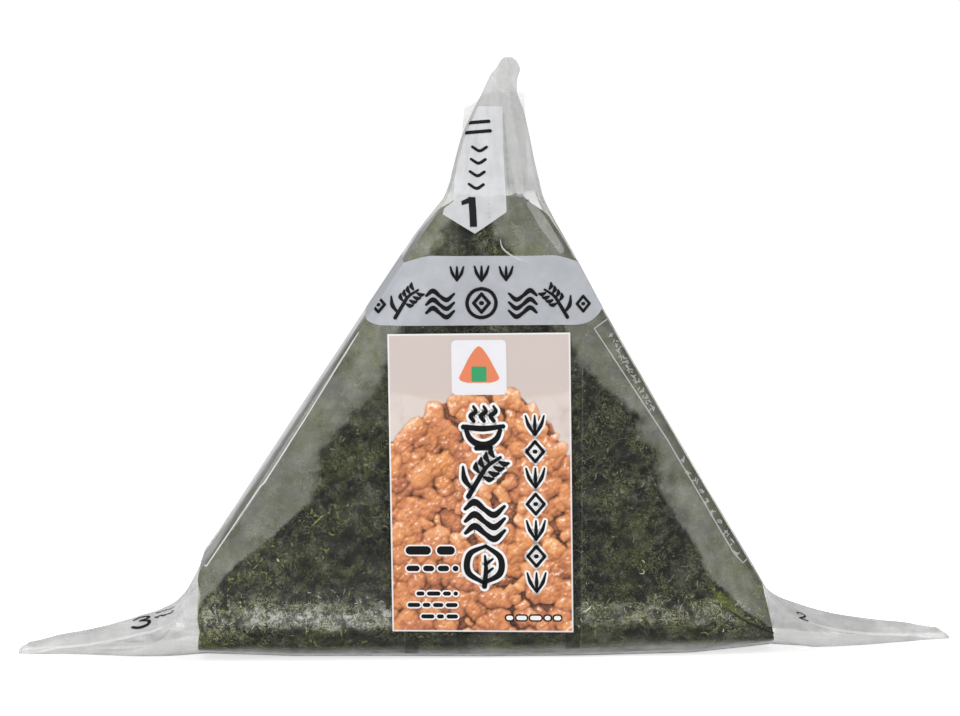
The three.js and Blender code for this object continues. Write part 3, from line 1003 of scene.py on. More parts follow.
def ribbon(path, width, closed=False, step=0.8):
    """A strip of constant width along a path in the plane: a left and a right edge, mitred at the corners."""
    path = np.asarray(path, float)
    if closed:
        path = np.concatenate([path, path[:1]])
    pieces = []
    for start, end in zip(path[:-1], path[1:]):
        count = max(1, int(np.ceil(np.hypot(*(end - start)) / step)))
        pieces.append(mix(start, end, np.linspace(0, 1, count, endpoint=False)[:, None]))
    pieces.append(path[-1:])
    line = np.concatenate(pieces)
    before = np.diff(line, axis=0, prepend=line[-2:-1] if closed else 2 * line[:1] - line[1:2])
    after = np.diff(line, axis=0, append=line[1:2] if closed else 2 * line[-1:] - line[-2:-1])
    before /= np.linalg.norm(before, axis=1, keepdims=True)
    after /= np.linalg.norm(after, axis=1, keepdims=True)
    middle = before + after
    middle /= np.linalg.norm(middle, axis=1, keepdims=True)
    normal = np.stack([-middle[:, 1], middle[:, 0]], axis=1)
    reach = width / 2 / np.maximum(0.4, np.abs((middle * after).sum(axis=1)))[:, None]
    return np.stack([line + normal * reach, line, line - normal * reach], axis=1)


def print_on_film(name, shapes, ink, lift=0.07, part="front"):
    """Lays flat (x, z) grids on the film's face as one piece of print."""
    grids = []
    for shape in shapes:
        grids.append((film_point(shape[..., 0], shape[..., 1], part, lift), False, part == "back"))
    return fit_out(skin(name, grids, ink, weld=False), "film_pack", "film_pack")


# %% [markdown]
# ## The arched band
# A pale band runs right round the pack above the label. Its upper edge is nearly straight and its lower edge
# turns up at the folds. It is a strip of the film's own surface, with the two edges given as heights.

# %% Band
BAND_LOW, BAND_HIGH = 61.6, 74.05


def band_edges(along):
    """Heights of the lower and upper edge on a face: flat in the middle, turned up and down at the folds."""
    low = BAND_LOW + 1.0 * np.maximum(0, (-along - 0.84) / 0.16) ** 2 + 3.0 * np.maximum(0, (along - 0.7) / 0.3) ** 2
    high = BAND_HIGH - 1.25 * np.maximum(0, (np.abs(along) - 0.72) / 0.28) ** 1.6
    return low, high


def make_band():
    """Rows between the band's two edges on all four parts of the film, joined into one closed loop."""
    rise = np.linspace(0, 1, 26)[:, None]
    face = np.linspace(-1, 1, 110, endpoint=False)[None, :]
    share = np.linspace(0, 1, 16, endpoint=False)[None, :]
    fold_low = {"left": float(band_edges(np.array(-1.0))[0]), "right": float(band_edges(np.array(1.0))[0])}
    fold_high = float(band_edges(np.array(1.0))[1])
    parts = []
    for part, along in (("front", face), ("right", share), ("back", -face), ("left", 1 - share)):
        if part in ("front", "back"):
            low, high = band_edges(along)
        else:
            low, high = np.full_like(along, fold_low[part]), np.full_like(along, fold_high)
        parts.append(film_surface(part, mix(low, high, rise), along, 0.05)[0])
    return skin("pale_band", [(np.concatenate(parts, axis=1), True, False)], band_ink, weld=False)


fit_out(make_band(), "film_pack", "film_pack")

# %% [markdown]
# ## The tab's arrow
# The pull tab carries a pale arrow that points down, with the number of the first step in it. The arrow's shaft
# fades into the neck; its head is wider than the shaft and ends in a point just above the band.

# %% Arrow and its number
ARROW_TIP, ARROW_TOP = 78.0, 100.4
ARROW_LEFT = np.array((
    (78.0, -2.15), (81.3, -7.7), (82.3, -7.35), (83.5, -5.7), (87.5, -5.2), (94.4, -3.3), (100.4, -0.6),
))
ARROW_RIGHT = np.array(((78.0, -2.15), (81.76, 3.62), (84.0, 3.7), (100.4, 3.75)))


def make_arrow():
    """Rows of points between the arrow's left and right outline, from the tip up."""
    corners = np.concatenate([ARROW_LEFT[:, 0], ARROW_RIGHT[:, 0]])
    height = np.unique(np.concatenate([np.linspace(ARROW_TIP, ARROW_TOP, 60), corners]))[:, None]
    left = read_table(height, ARROW_LEFT)
    right = read_table(height, ARROW_RIGHT)
    across = np.linspace(0, 1, 30)[None, :]
    return np.stack([mix(left, right, across), np.broadcast_to(height, (len(height), 30))], axis=-1)


# %% Numerals, drawn in a unit square
NUMERALS = {
    "2": [
        ([(0.12, 0.72), (0.3, 0.93), (0.7, 0.9), (0.84, 0.68), (0.6, 0.42), (0.14, 0.08)], (0.15, 0.17, 0.17, 0.15)),
        ([(0.14, 0.08), (0.9, 0.08)], (0.15, 0.15)),
    ],
    "3": [
        ([(0.12, 0.8), (0.34, 0.93), (0.72, 0.88), (0.78, 0.68), (0.42, 0.54)], (0.14, 0.17, 0.17, 0.12)),
        ([(0.42, 0.54), (0.82, 0.42), (0.8, 0.16), (0.4, 0.05), (0.1, 0.2)], (0.12, 0.17, 0.17, 0.14)),
    ],
}


def plain_one():
    """A bold upright 1: a square-ended stem and a sloping flag, as two grids in the unit square."""
    stem = ((0.5, 0.0), (0.5, 1.0)), ((1.0, 0.0), (1.0, 1.0))
    flag = ((0.0, 0.72), (0.0, 0.86)), ((0.62, 0.80), (0.62, 1.0))
    across, rise = np.linspace(0, 1, 4)[:, None, None], np.linspace(0, 1, 12)[:, None, None]
    shapes = [mix(np.array(left), np.array(right), across) for left, right in (stem, flag)]
    return [mix(shape[None, :, 0], shape[None, :, 1], rise) for shape in shapes]


def numeral(name, digit, place):
    """A printed number: its strokes, drawn in a unit square, are laid out by a placing function."""
    shapes = [brush(path, widths) for path, widths in NUMERALS[digit]] if digit in NUMERALS else plain_one()
    grids = [(place(shape), False, False) for shape in shapes]
    return fit_out(skin(name, grids, black_ink, weld=False), "film_pack", "film_pack")


# %% The arrow and the first number in place
def on_tab(at):
    """Places the unit square in the arrow's head."""
    return film_point(mix(-4.25, -1.75, at[..., 0]), mix(79.2, 84.3, at[..., 1]), "front", 0.12)


print_on_film("tab_arrow", [make_arrow()], tab_ink, 0.05)
numeral("number_one", "1", on_tab)


# %% Down marks on the shaft
def chevron(x, z, size):
    """A small V that points down, as a path and its widths."""
    return ([(x - size, z + size * 0.55), (x, z), (x + size, z + size * 0.55)], (0.5, 0.55, 0.5))


shaft_marks = [chevron(-1.4 + (z - 86) * 0.13, z, 1.25) for z in (85.8, 88.0, 90.2, 92.4)]
shaft_marks += [([(-2.9, 95.6), (1.4, 96.0)], (0.62, 0.62)), ([(-2.2, 97.4), (1.2, 97.7)], (0.62, 0.62))]
print_on_film("shaft_marks", [brush(path, widths) for path, widths in shaft_marks], black_ink, 0.12)

# %% [markdown]
# ## Numbers on the ears
# The next two steps are printed on top of the ears, and seen from the front they are squeezed by the low view.
# A number's up direction points away from the viewer, across the ear. Beside the left one lie two rows of short
# ticks.


# %% Ear numbers
def ear_point(reach, share, end, lift):
    """A point on top of an ear: reach is its X without the sign, share goes from the front fold to the back one."""
    heights = np.linspace(0.0, WING_TOP, 300)
    folds = sections(heights)
    outer = folds["fold_x"] + end * folds["centre"]
    height = np.interp(-reach, -outer, heights)
    return film_surface("left" if end < 0 else "right", height, share, lift)[0]


def on_ear(end, reach, share):
    """Places the unit square on an ear, between two values of reach and two of share."""
    return lambda at: ear_point(mix(*reach, at[..., 0]), mix(*share, at[..., 1]), end, 0.1)


numeral("number_three", "3", on_ear(-1, (64.6, 60.6), (0.14, 0.52)))
numeral("number_two", "2", on_ear(1, (57.7, 59.8), (0.03, 0.2)))

# %% Two rows of ticks beside the number
draw = np.random.default_rng(31)
ticks = [
    brush([(place, row), (place + draw.uniform(0.06, 0.14), row + draw.uniform(-0.1, 0.1))], (0.12, 0.12), count=4)
    for row in (0.2, 0.75) for place in np.arange(0.0, 1.0, 0.19)
]
ear_ticks = [(on_ear(-1, (60.1, 57.0), (0.3, 0.62))(at), False, False) for at in ticks]
fit_out(skin("ear_ticks", ear_ticks, black_ink, weld=False), "film_pack", "film_pack")

# %% Ear creases
def fold_ribbon(end, lift, width, low=0.35, high=WING_TOP * 0.8):
    """A thin strip that follows the front fold of an ear, given by heights of the level sections."""
    height = np.linspace(low, high, 90)[:, None]
    side = film_surface("left" if end < 0 else "right", height, np.zeros_like(height), lift)[0]
    upper = film_surface("left" if end < 0 else "right", height, np.full_like(height, width), lift)[0]
    return mix(side, upper, np.linspace(0, 1, 3)[None, :, None])


for end, name in ((-1, "left"), (1, "right")):
    crease = skin(f"ear_crease_{name}", [(fold_ribbon(end, 0.06, 0.05), False, end < 0)], crease_shine, weld=False)
    fit_out(crease, "film_pack", "film_pack")

# %% [markdown]
# ## White frame lines and film edges
# Two thin white frames follow the slanted folds on each face. Two very faint upright lines below them are the
# edges of the inner film, seen through the outer one, and where that film lies double a narrow strip of painted
# shade lies.
# Creases are light or dark brush strokes just above the film. They could be modelled, but a crease in film this
# thin is seen only by its glint and its shade. Two more strokes belong to the seaweed: the dark line of its folded
# corner, painted shade in its crease, and the green light beside it, where the sheet is thin.

# %% Frame lines
FRAME_LINE = 0.22
FRAME_LEFT = (
    (-24.1, 60.9), (-23.07, 60.17), (-32.7, 44.68), (-39.97, 33.35), (-40.65, 32.76), (-50.48, 18.27),
    (-51.25, 18.7),
)
FRAME_RIGHT = ((21.8, 62.4), (19.41, 60.81), (32.79, 40.5), (45.12, 19.58), (46.9, 17.68), (47.6, 18.4))
BASE_X = np.linspace(-50.0, 50.0, 60)
BASE_LINE = np.stack([BASE_X, 1.0 + 0.25 * patchy(BASE_X, 0 * BASE_X, 9.0, 29, 2)], axis=1)
INNER_EDGES = (((-14.9, 2.6), (-14.9, 61.0)), ((17.2, 2.4), (17.2, 61.2)))
# The flaps below are narrow strips of painted shade where the inner film lies double.
INNER_FLAPS = (((-13.6, 1.2), (-13.6, 5.4)), ((15.7, 2.2), (15.7, 31.0)))
for part in ("front", "back"):
    print_on_film(f"frame_line_left_{part}", [ribbon(FRAME_LEFT, FRAME_LINE)], white_ink, 0.08, part)
    print_on_film(f"frame_line_right_{part}", [ribbon(FRAME_RIGHT, FRAME_LINE)], dim_white_ink, 0.08, part)
    print_on_film(f"base_shine_{part}", [ribbon(BASE_LINE, 0.3)], crease_shine, 0.06, part)
    print_on_film(f"inner_edges_{part}", [ribbon(path, 0.2) for path in INNER_EDGES], faint_ink, 0.15, part)
    print_on_film(f"inner_flaps_{part}", [ribbon(path, 2.6) for path in INNER_FLAPS], flap_ink, 0.13, part)

# %% The frame's outer line on each narrow side
outer_lines = []
for part in ("left", "right"):
    height = np.linspace(18.4, 61.6, 80)[:, None]
    line = film_surface(part, height, np.array([[0.794, 0.8, 0.806]]), 0.05)[0]
    outer_lines.append((line, False, part == "right"))
fit_out(skin("frame_outer_lines", outer_lines, dim_white_ink, weld=False), "film_pack", "film_pack")

# %% Small marks and creases beside the folds
draw = np.random.default_rng(23)
fold_marks = []
for z in np.concatenate([np.arange(46.0, 59.5, 1.2), np.arange(19.5, 38.0, 1.9)]):
    middle = np.array((fold_line(z, 1) - 1.6, z))
    for _ in range(5):
        start, turn = middle + draw.uniform(-0.5, 0.5, 2), draw.uniform(0, np.pi)
        half = draw.uniform(0.15, 0.36) * np.array((np.cos(turn), np.sin(turn)))
        fold_marks.append(brush([start - half, start + half], (0.2, 0.2), count=4))
print_on_film("fold_marks", fold_marks, make_ink("soft_white_ink", (0.6, 0.6, 0.6), 0.4, 0.5), 0.09)
SHARP_CREASES = (
    (((2.36, 77.0), (2.7, 75.6), (3.79, 74.5), (5.6, 73.5), (7.74, 72.9)), (0.1, 0.26, 0.3, 0.2, 0.05)),
    (((-55.9, 10.4), (-55.4, 9.0), (-54.6, 7.9)), (0.3, 1.3, 0.3)),
    (((40.2, 1.1), (43.5, 1.5), (46.8, 1.9)), (0.05, 0.36, 0.08)),
)
SOFT_CREASES = (
    (((-9.0, 83.4), (-11.6, 79.4), (-14.4, 75.2)), (0.5, 1.2, 0.9)),
    (((-3.2, 99.0), (-5.4, 93.0), (-7.4, 87.6), (-9.2, 83.6)), (0.3, 0.9, 1.0, 0.6)),
    (((4.7, 101.0), (5.2, 96.0), (6.0, 90.0), (6.4, 84.8)), (0.5, 1.8, 2.2, 1.2)),
    (((8.2, 83.0), (10.4, 79.6), (13.4, 75.0)), (1.4, 1.9, 1.2)),
    (((2.0, 106.0), (3.4, 103.6), (5.2, 102.4)), (0.5, 0.9, 0.4)),
    (((-45.8, 24.8), (-38.6, 36.0), (-31.4, 47.6), (-25.2, 57.0)), (0.3, 0.8, 0.5, 0.7)),
)
SHADES = (
    (((3.9, 99.0), (4.2, 92.0), (4.3, 86.0)), (0.2, 0.4, 0.3)),
    (((-57.2, 8.0), (-59.2, 4.6), (-63.2, 3.2), (-69.0, 2.2), (-75.0, 1.6)), (0.3, 0.7, 0.9, 0.6, 0.2)),
    (((-62.0, 2.6), (-66.0, 1.5), (-71.0, 0.9)), (0.2, 0.5, 0.2)),
    (((10.6, 89.0), (12.2, 83.4), (14.0, 79.4)), (0.2, 0.5, 0.2)),
    (((-7.2, 91.0), (-9.0, 85.4), (-11.6, 80.8)), (0.15, 0.4, 0.3)),
)
soft_shine = make_ink("soft_shine", (0.85, 0.85, 0.85), 0.4, 0.2)
soft_shade = make_ink("soft_shade", (0.1, 0.1, 0.1), 0.5, 0.14)
# The seaweed's corner crease gets a dark line of painted shade.
SEAWEED_CREASE = ((((43.6, 9.6), (46.6, 7.6), (49.6, 6.0), (52.4, 4.9)), (0.1, 0.4, 0.5, 0.3)),)
GREEN_LIGHT = (
    (((40.6, 13.6), (42.6, 11.4), (44.8, 9.4), (47.4, 7.6)), (0.3, 1.3, 1.6, 0.4)),
    (((-51.7, 17.4), (-52.0, 12.4), (-51.8, 8.0), (-52.0, 3.4)), (0.2, 0.5, 0.4, 0.5)),
    (((-51.4, 6.4), (-50.2, 4.0), (-47.6, 3.0)), (0.6, 1.4, 0.5)),
)
for name, paths, ink in (
    ("sharp_creases", SHARP_CREASES, crease_shine),
    ("soft_creases", SOFT_CREASES, soft_shine),
    ("crease_shades", SHADES, soft_shade),
    ("seaweed_crease", SEAWEED_CREASE, make_ink("seaweed_crease_shade", (0.004, 0.005, 0.003), 0.6, 0.8)),
    ("green_light", GREEN_LIGHT, make_ink("green_light_colour", (0.16, 0.21, 0.02), 0.5, 0.26)),
):
    print_on_film(name, [brush(path, widths, count=40) for path, widths in paths], ink, 0.1)

# %% [markdown]
# ## Curls of seaweed under the film
# Pressed seaweed is made of ribbon-like leaves. Where one stands up against the clinging film it catches the light
# as a short, bright curl, and beside it lies a dark one in its shade; both are painted: a painted highlight and
# painted shade. They are scattered strokes: each is a short path that keeps turning, and they are kept where the
# haze is low, because loose film hides them. Seven kinds lie on top of each other, from dark ones to a few bright
# ones, and the greenest are kept near the bottom corners. The olive and green ones are the leaves' own colour; the
# dark ones are painted shade, and the pale, belly and bright ones are painted glints.


# %% Scattering the curls
def curls(count, box, length, width, seed, keep):
    """Short turning paths with seeded place, direction, bend, length and width; keep(x, z) is how likely one is."""
    draw = np.random.default_rng(seed)
    x, z = draw.uniform(box[0], box[1], count), draw.uniform(box[2], box[3], count)
    start, bend = draw.uniform(0, 2 * np.pi, count), draw.normal(0, 1.1, count)
    size = length[0] + (length[1] - length[0]) * draw.uniform(0, 1, count) ** 2
    thick = draw.uniform(width[0], width[1], count)
    kept = draw.uniform(0, 1, count) < keep(x, z)
    share = np.linspace(0, 1, 9)
    turn = start[kept, None] + bend[kept, None] * share + 0.35 * np.sin(share * 7 + 5 * start[kept, None])
    step = size[kept, None] / len(share)
    across, up = np.cumsum(np.cos(turn) * step, 1), np.cumsum(np.sin(turn) * step, 1)
    path = np.stack([x[kept, None] + across, z[kept, None] + up], -1)
    half_width = thick[kept, None] / 2 * np.sin(np.pi * (0.08 + 0.84 * share))
    normal = np.stack([-np.sin(turn), np.cos(turn)], -1) * half_width[..., None]
    return np.stack([path + normal, path, path - normal], axis=2)


# %% Where curls may lie
def clinging(x, z):
    """1 where the film clings to the seaweed on a face, 0 where it is hazy or off the sheet; lower in patches."""
    clear = 1.0 - smooth((face_haze(x, z, 11) - 0.12) / 0.3) * (1.0 - bump_between(z, 3.5, 13.5, 1.5))
    on_sheet = (x > seaweed_edge(z, -1) + 1.0) & (x < seaweed_edge(z, 1) - 1.0)
    return clear * on_sheet * (0.15 + 0.85 * smooth((patchy(x, z, 9.0, 905, 2) + 0.15) / 0.5))


def green_places(x, z):
    """Where the sheet is thin and yellow-green: the bottom corners, and along the haze's edge on the left."""
    corners = np.maximum(smooth((-34 - x) / 12) * smooth((20 - z) / 12), smooth((x - 34) / 10) * smooth((20 - z) / 8))
    beside_haze = bump_between(face_haze(x, z, 11), 0.06, 0.62, 0.08) * smooth((36 - z) / 8) * smooth((-22 - x) / 8)
    return np.maximum(clinging(x, z) * corners, beside_haze * (x > seaweed_edge(z, -1) + 0.6))


def green_corner(x, z):
    """A soft spot on the lower right, stretched along the crease."""
    along, across = 0.77 * (x - 44.0) - 0.64 * (z - 10.3), 0.64 * (x - 44.0) + 0.77 * (z - 10.3)
    return np.exp(-((along / 3.6) ** 2) - (across / 1.1) ** 2)


# %% The kinds of curls
BELLY = (-51.6, 52.0, 5.5, 13.5)
FACE = (-52.0, 52.0, 3.0, 79.0)
CORNER = (36.0, 52.0, 4.0, 17.0)
LOW_FACE = (-50.0, 46.0, 5.5, 22.0)
# The dark curls are painted shade; the pale, belly and bright curls are painted glints of lit leaf edges.
# Name, count, box, lengths, widths, colour, opacity, and where they are kept.
CURLS = (
    ("shade_curls", 2400, FACE, (1.0, 4.0), (0.2, 0.6), (0.003, 0.004, 0.003), 0.4,
     lambda x, z: 0.8 * clinging(x, z)),
    ("olive_curls", 3000, FACE, (0.8, 3.4), (0.12, 0.3), (0.13, 0.145, 0.05), 0.34,
     lambda x, z: clinging(x, z) * smooth((z - 3.5) / 2)),
    ("pale_glint_curls", 2100, FACE, (0.4, 2.0), (0.07, 0.14), (0.55, 0.58, 0.36), 0.52,
     lambda x, z: clinging(x, z) * smooth((z - 4.5) / 2) * (0.3 + 0.6 * smooth((24 - z) / 12))),
    ("belly_glint_curls", 1500, BELLY, (0.3, 1.5), (0.06, 0.15), (0.82, 0.83, 0.74), 0.5,
     lambda x, z: 0.8 * belly_sheen(x, z, 11)),
    ("green_curls", 2600, FACE, (0.5, 2.2), (0.12, 0.3), (0.33, 0.40, 0.07), 0.5, green_places),
    ("corner_curls", 900, CORNER, (0.4, 1.8), (0.14, 0.34), (0.20, 0.25, 0.05), 0.3, green_corner),
    ("bright_glint_curls", 26, LOW_FACE, (0.8, 2.2), (0.16, 0.34), (0.78, 0.80, 0.56), 0.55,
     lambda x, z: clinging(x, z) * smooth((26 - z) / 18)),
)
for number, (name, count, box, length, width, colour, alpha, keep) in enumerate(CURLS):
    ink = make_ink(f"{name}_colour", colour, 0.5, alpha)
    for part in ("front", "back"):
        strips = curls(count, box, length, width, 911 + 7 * number + (part == "back"), keep)
        points = film_point(strips[..., 0], strips[..., 1], part, -0.06 + 0.025 * number)
        pieces = [(piece, False, part == "back") for piece in points]
        fit_out(skin(f"{name}_{part}", pieces, ink, weld=False), "film_pack", "film_pack")

# %% [markdown]
# ## The label's picture
# The sticker shows a heap of cooked crumbs in front of a beige wall, with pale rice behind it. It is painted by
# formula on a fine grid of points: uneven lumps are piled into a height, grains and fine noise roughen them, and
# the height is lit from the top left. Steep parts and hollows come out dark, and sauce shines where the surface
# faces the light. The colours travel with the points.


# %% Lumps
def cells(x, y, size, seed):
    """Distance to the nearest seeded point on a jittered lattice, in cell sizes, and a random value of that point."""
    u, v = x / size + 50.0, y / size + 50.0
    column, row = np.floor(u).astype(int), np.floor(v).astype(int)
    draw = np.random.default_rng(seed).uniform(0, 1, (3, 128, 128))
    nearest, chosen = np.full(np.shape(u), 9.0), np.zeros(np.shape(u))
    for step_row in (-1, 0, 1):
        for step_column in (-1, 0, 1):
            r, c = (row + step_row) % 128, (column + step_column) % 128
            distance = np.hypot(column + step_column + draw[0, r, c] - u, row + step_row + draw[1, r, c] - v)
            chosen = np.where(distance < nearest, draw[2, r, c], chosen)
            nearest = np.minimum(nearest, distance)
    return nearest, chosen


def lumps(x, y, size, seed):
    """Round lumps: half spheres around the points, each with a height of its own."""
    distance, value = cells(x, y, size, seed)
    return np.sqrt(np.maximum(0.0, 1 - (distance / 0.86) ** 2)) * (0.55 + 0.45 * value)


def linear(red, green, blue):
    """A colour given as 0 to 255, as a monitor shows it, in the linear values that materials use."""
    value = np.array((red, green, blue)) / 255.0
    return np.where(value <= 0.04045, value / 12.92, ((value + 0.055) / 1.055) ** 2.4)


def ramp(value, stops):
    """Colours along a ramp of (position, colour) stops."""
    places = [place for place, _ in stops]
    return np.stack([np.interp(value, places, [colour[k] for _, colour in stops]) for k in range(3)], axis=-1)


print("a mid brown in linear values", linear(150, 100, 70).round(3))


# %% Painting the heap
LABEL_WIDTH, LABEL_HEIGHT = 32.8, 54.2
LABEL_CENTRE, LABEL_BOTTOM = -1.1, 6.0
LABEL_LEAN, LABEL_TURN, LABEL_TWIST = math.radians(0.8), math.radians(-0.5), 0.011
LABEL_FACE = label_low[1]
HEAP_TOP = np.array((
    (-16.5, 35.5), (-12.6, 38.6), (-9.0, 41.2), (-8.0, 43.0), (-4.4, 44.6), (0.0, 46.6), (4.8, 46.6),
    (6.4, 45.8), (9.4, 42.2), (12.6, 40.2), (13.8, 37.8), (15.2, 34.6), (16.5, 32.6),
))
CRUMB_COLOURS = (
    (0.0, linear(48, 30, 23)), (0.16, linear(100, 62, 44)), (0.32, linear(153, 93, 63)),
    (0.48, linear(191, 121, 81)), (0.62, linear(216, 141, 93)), (0.78, linear(233, 165, 114)),
    (0.92, linear(241, 190, 148)), (1.0, linear(246, 216, 188)),
)


# %% The heap of crumbs
def blurred(height, reach):
    """Average over a square window of 2 reach + 1 points, taken twice, which is close to a soft round blur."""
    for axis in (0, 1, 0, 1):
        margin = [(reach + 1, reach) if a == axis else (0, 0) for a in (0, 1)]
        total = np.cumsum(np.pad(height, margin, mode="edge"), axis=axis)
        count = height.shape[axis]
        high = np.take(total, np.arange(count) + 2 * reach + 1, axis=axis)
        height = (high - np.take(total, np.arange(count), axis=axis)) / (2 * reach + 1)
    return height


def heap_height(x, y):
    """Height in mm of the piled lumps and a random value of each lump; below 0 outside the heap.

    A lump is level + 1.15 * radius^0.6 * (1 - reach^3)^0.6, where reach is the distance from its middle in an
    uneven, slightly square measure. The highest lump at each point wins.
    """
    draw = np.random.default_rng(661)
    count = 560
    middle_x = draw.uniform(-18.5, 18.5, count)
    radius = draw.uniform(0.8, 1.7, count) + 1.3 * draw.uniform(0, 1, count) ** 2
    top = read_table(middle_x, HEAP_TOP) - 0.8 * radius
    middle_y = top - (top + 3.0) * draw.uniform(0, 1, count) ** 0.95
    kind, stretch, lean = draw.uniform(-1, 1, count), draw.uniform(0.55, 0.95, count), draw.uniform(0, np.pi, count)
    level = draw.uniform(0.2, 1.9, count)
    warp_x, warp_y = x + 0.5 * patchy(x, y, 1.7, 665, 3), y + 0.5 * patchy(x, y, 1.7, 667, 3)
    edge = read_table(x, HEAP_TOP) - 2.4
    height = np.where(y + 0.8 * patchy(x, y, 2.0, 669, 2) < edge, 0.2, -1.0)
    tint = np.zeros(x.shape)
    for k in range(count):
        u, v = (warp_x - middle_x[k]) / radius[k], (warp_y - middle_y[k]) / radius[k]
        along, across = u * np.cos(lean[k]) + v * np.sin(lean[k]), v * np.cos(lean[k]) - u * np.sin(lean[k])
        reach = (np.abs(along) ** 3 + np.abs(across / stretch[k]) ** 3) ** (1 / 3)
        lump = level[k] + 1.15 * radius[k] ** 0.6 * np.maximum(0.0, 1 - reach**3) ** 0.6
        here = (reach < 1.0) & (lump > height)
        height, tint = np.where(here, lump, height), np.where(here, kind[k], tint)
    return height, tint


# %% Light and colour of the heap
def paint_crumbs(picture, x, y):
    """Lights the heap's height and lays it over the picture."""
    height, tint = heap_height(x, y)
    inside = smooth((blurred(np.sign(height), 1) + 0.7) / 1.2)
    grains = 0.34 * lumps(x + 0.4 * y, y, 1.25, 681) + 0.16 * lumps(y, x, 0.62, 683)
    height = np.maximum(height, 0.0) + grains + 0.26 * patchy(x, y, 0.8, 671, 3) + 0.1 * patchy(x, y, 0.36, 679)
    slope_y, slope_x = (0.85 * slope for slope in np.gradient(height, x[0, 1] - x[0, 0]))
    size = np.sqrt(1 + slope_x**2 + slope_y**2)
    light = np.clip((0.30 * slope_x - 0.62 * slope_y + 0.72) / size, 0.2, 1.0)
    facing = (0.20 * slope_x - 0.42 * slope_y + 0.885) / size
    open_wide, open_near = height - blurred(height, 7), height - blurred(height, 2)
    tone = 0.52 + 0.36 * (light - 0.6) + 0.22 * np.clip(open_wide, -1.5, 1.0) + 0.2 * np.clip(open_near, -0.45, 0.6)
    tone = tone + 0.06 * tint + 0.10 * patchy(x, y, 5.0, 691, 2)
    colour = ramp(np.clip(tone, 0, 1), CRUMB_COLOURS)
    warm = (0.8 * patchy(x, y, 3.4, 693, 2) + 0.5 * tint)[..., None]
    colour = colour * (1 + warm * np.array((0.03, 0.03, -0.16)))
    sauce = smooth((facing - 0.95) / 0.035) * smooth((open_near + 0.02) / 0.12)
    sauce = sauce * smooth((patchy(x, y, 1.3, 695, 2) + 0.25) / 0.3)
    colour = mix(colour, linear(254, 240, 228), 0.85 * sauce[..., None])
    return mix(picture, colour, inside[..., None])


def paint_picture(x, y):
    """Colours of the label: x across from its middle, y up from its bottom edge, in mm."""
    wall = mix(linear(206, 193, 188), linear(214, 196, 181), smooth((46.0 - y) / 8.0)[..., None])
    rice_height = lumps(x + 0.5 * patchy(x, y, 1.4, 641, 2), y, 3.6, 643) + 0.3 * lumps(x, y, 1.3, 645)
    rice_top = 40.6 + 1.5 * np.abs(x) / 9.0 + 1.2 * lumps(x, 0 * y, 4.2, 647)
    rice = mix(linear(198, 184, 176), linear(219, 206, 200), smooth(rice_height)[..., None])
    picture = mix(wall, rice, smooth((rice_top - y) / 0.8)[..., None])
    picture = paint_crumbs(picture, x, y)
    inside = np.minimum(LABEL_WIDTH / 2 - np.abs(x), np.minimum(y, LABEL_HEIGHT - y))
    return mix(np.ones(3) * linear(238, 236, 238), picture, smooth((inside - 0.2) / 0.12)[..., None])


# %% The sticker
def on_label(x, y, lift=0.0):
    """A point of the label's front from its own measures: slightly askew and twisted, with a faint bow."""
    upright = y - LABEL_HEIGHT / 2
    across = x - upright * math.sin(LABEL_LEAN)
    up = upright + x * (math.sin(LABEL_TURN) + LABEL_TWIST * upright / LABEL_HEIGHT * 2)
    bow = 0.05 * patchy(x, y, 16.0, 661, 1)
    depth = LABEL_FACE + 0.08 + bow - lift
    return np.stack([LABEL_CENTRE + across, depth + 0 * across, LABEL_BOTTOM + LABEL_HEIGHT / 2 + up], axis=-1)


def make_label():
    """The sticker: a fine grid in front, a rim one paper thickness deep and a flat back that meets in its middle."""
    columns, rows = 190, 310
    half = LABEL_WIDTH / 2
    x, y = np.meshgrid(np.linspace(-half, half, columns), np.linspace(0, LABEL_HEIGHT, rows))
    front = on_label(x, y)
    paper = 0.2
    white = np.ones(3) * 0.8
    outline = [front[0], front[1:, -1], front[-1, -2::-1], front[-2:0:-1, 0]]
    rim = np.concatenate(outline)
    rim_back = rim + np.array((0.0, paper, 0.0))
    middle = np.broadcast_to(rim_back.mean(axis=0), rim.shape)
    sides = np.stack([rim, rim_back, middle])
    grids = [(front, False, False), (sides, True, True)]
    colours = [paint_picture(x, y), np.broadcast_to(white, sides.shape)]
    return skin("front_label", grids, label_paper, {"picture": colours})


def make_label_paper():
    """Smooth coated paper that shows the painted colours."""
    material, tree, shader = new_material("label_paper", Roughness=0.42, Specular_IOR_Level=0.35)
    picture = node(tree, "ShaderNodeAttribute", attribute_name="picture").outputs["Color"]
    tree.links.new(picture, shader.inputs["Base Color"])
    return material


label_paper = make_label_paper()
fit_out(make_label(), "label", "label")

# %% [markdown]
# ## Marks on the label
# The marks are plain drawings in brush strokes with a white edge: an ear of rice, a steaming bowl, a leaf and a
# wave. The white edge is each stroke made wider and laid just under the black one.


# %% Motifs, each in a box of about 1 by 1
def rice_ear():
    """A slanted stem with grains in pairs and one long leaf."""
    stem = ([(-0.34, -0.5), (-0.1, -0.1), (0.1, 0.2), (0.42, 0.42)], (0.10, 0.09, 0.05))
    grains = []
    for k in range(4):
        foot = np.array((-0.02 + 0.12 * k, 0.02 + 0.12 * k))
        grains.append(([foot + (-0.08, 0.06), foot + (-0.14, 0.16), foot + (-0.13, 0.26)], (0.05, 0.12, 0.04)))
        grains.append(([foot + (0.06, -0.07), foot + (0.17, -0.12), foot + (0.27, -0.1)], (0.05, 0.12, 0.04)))
    leaf = ([(-0.24, -0.34), (-0.42, -0.1), (-0.46, 0.2)], (0.05, 0.12, 0.03))
    return [stem, leaf] + grains


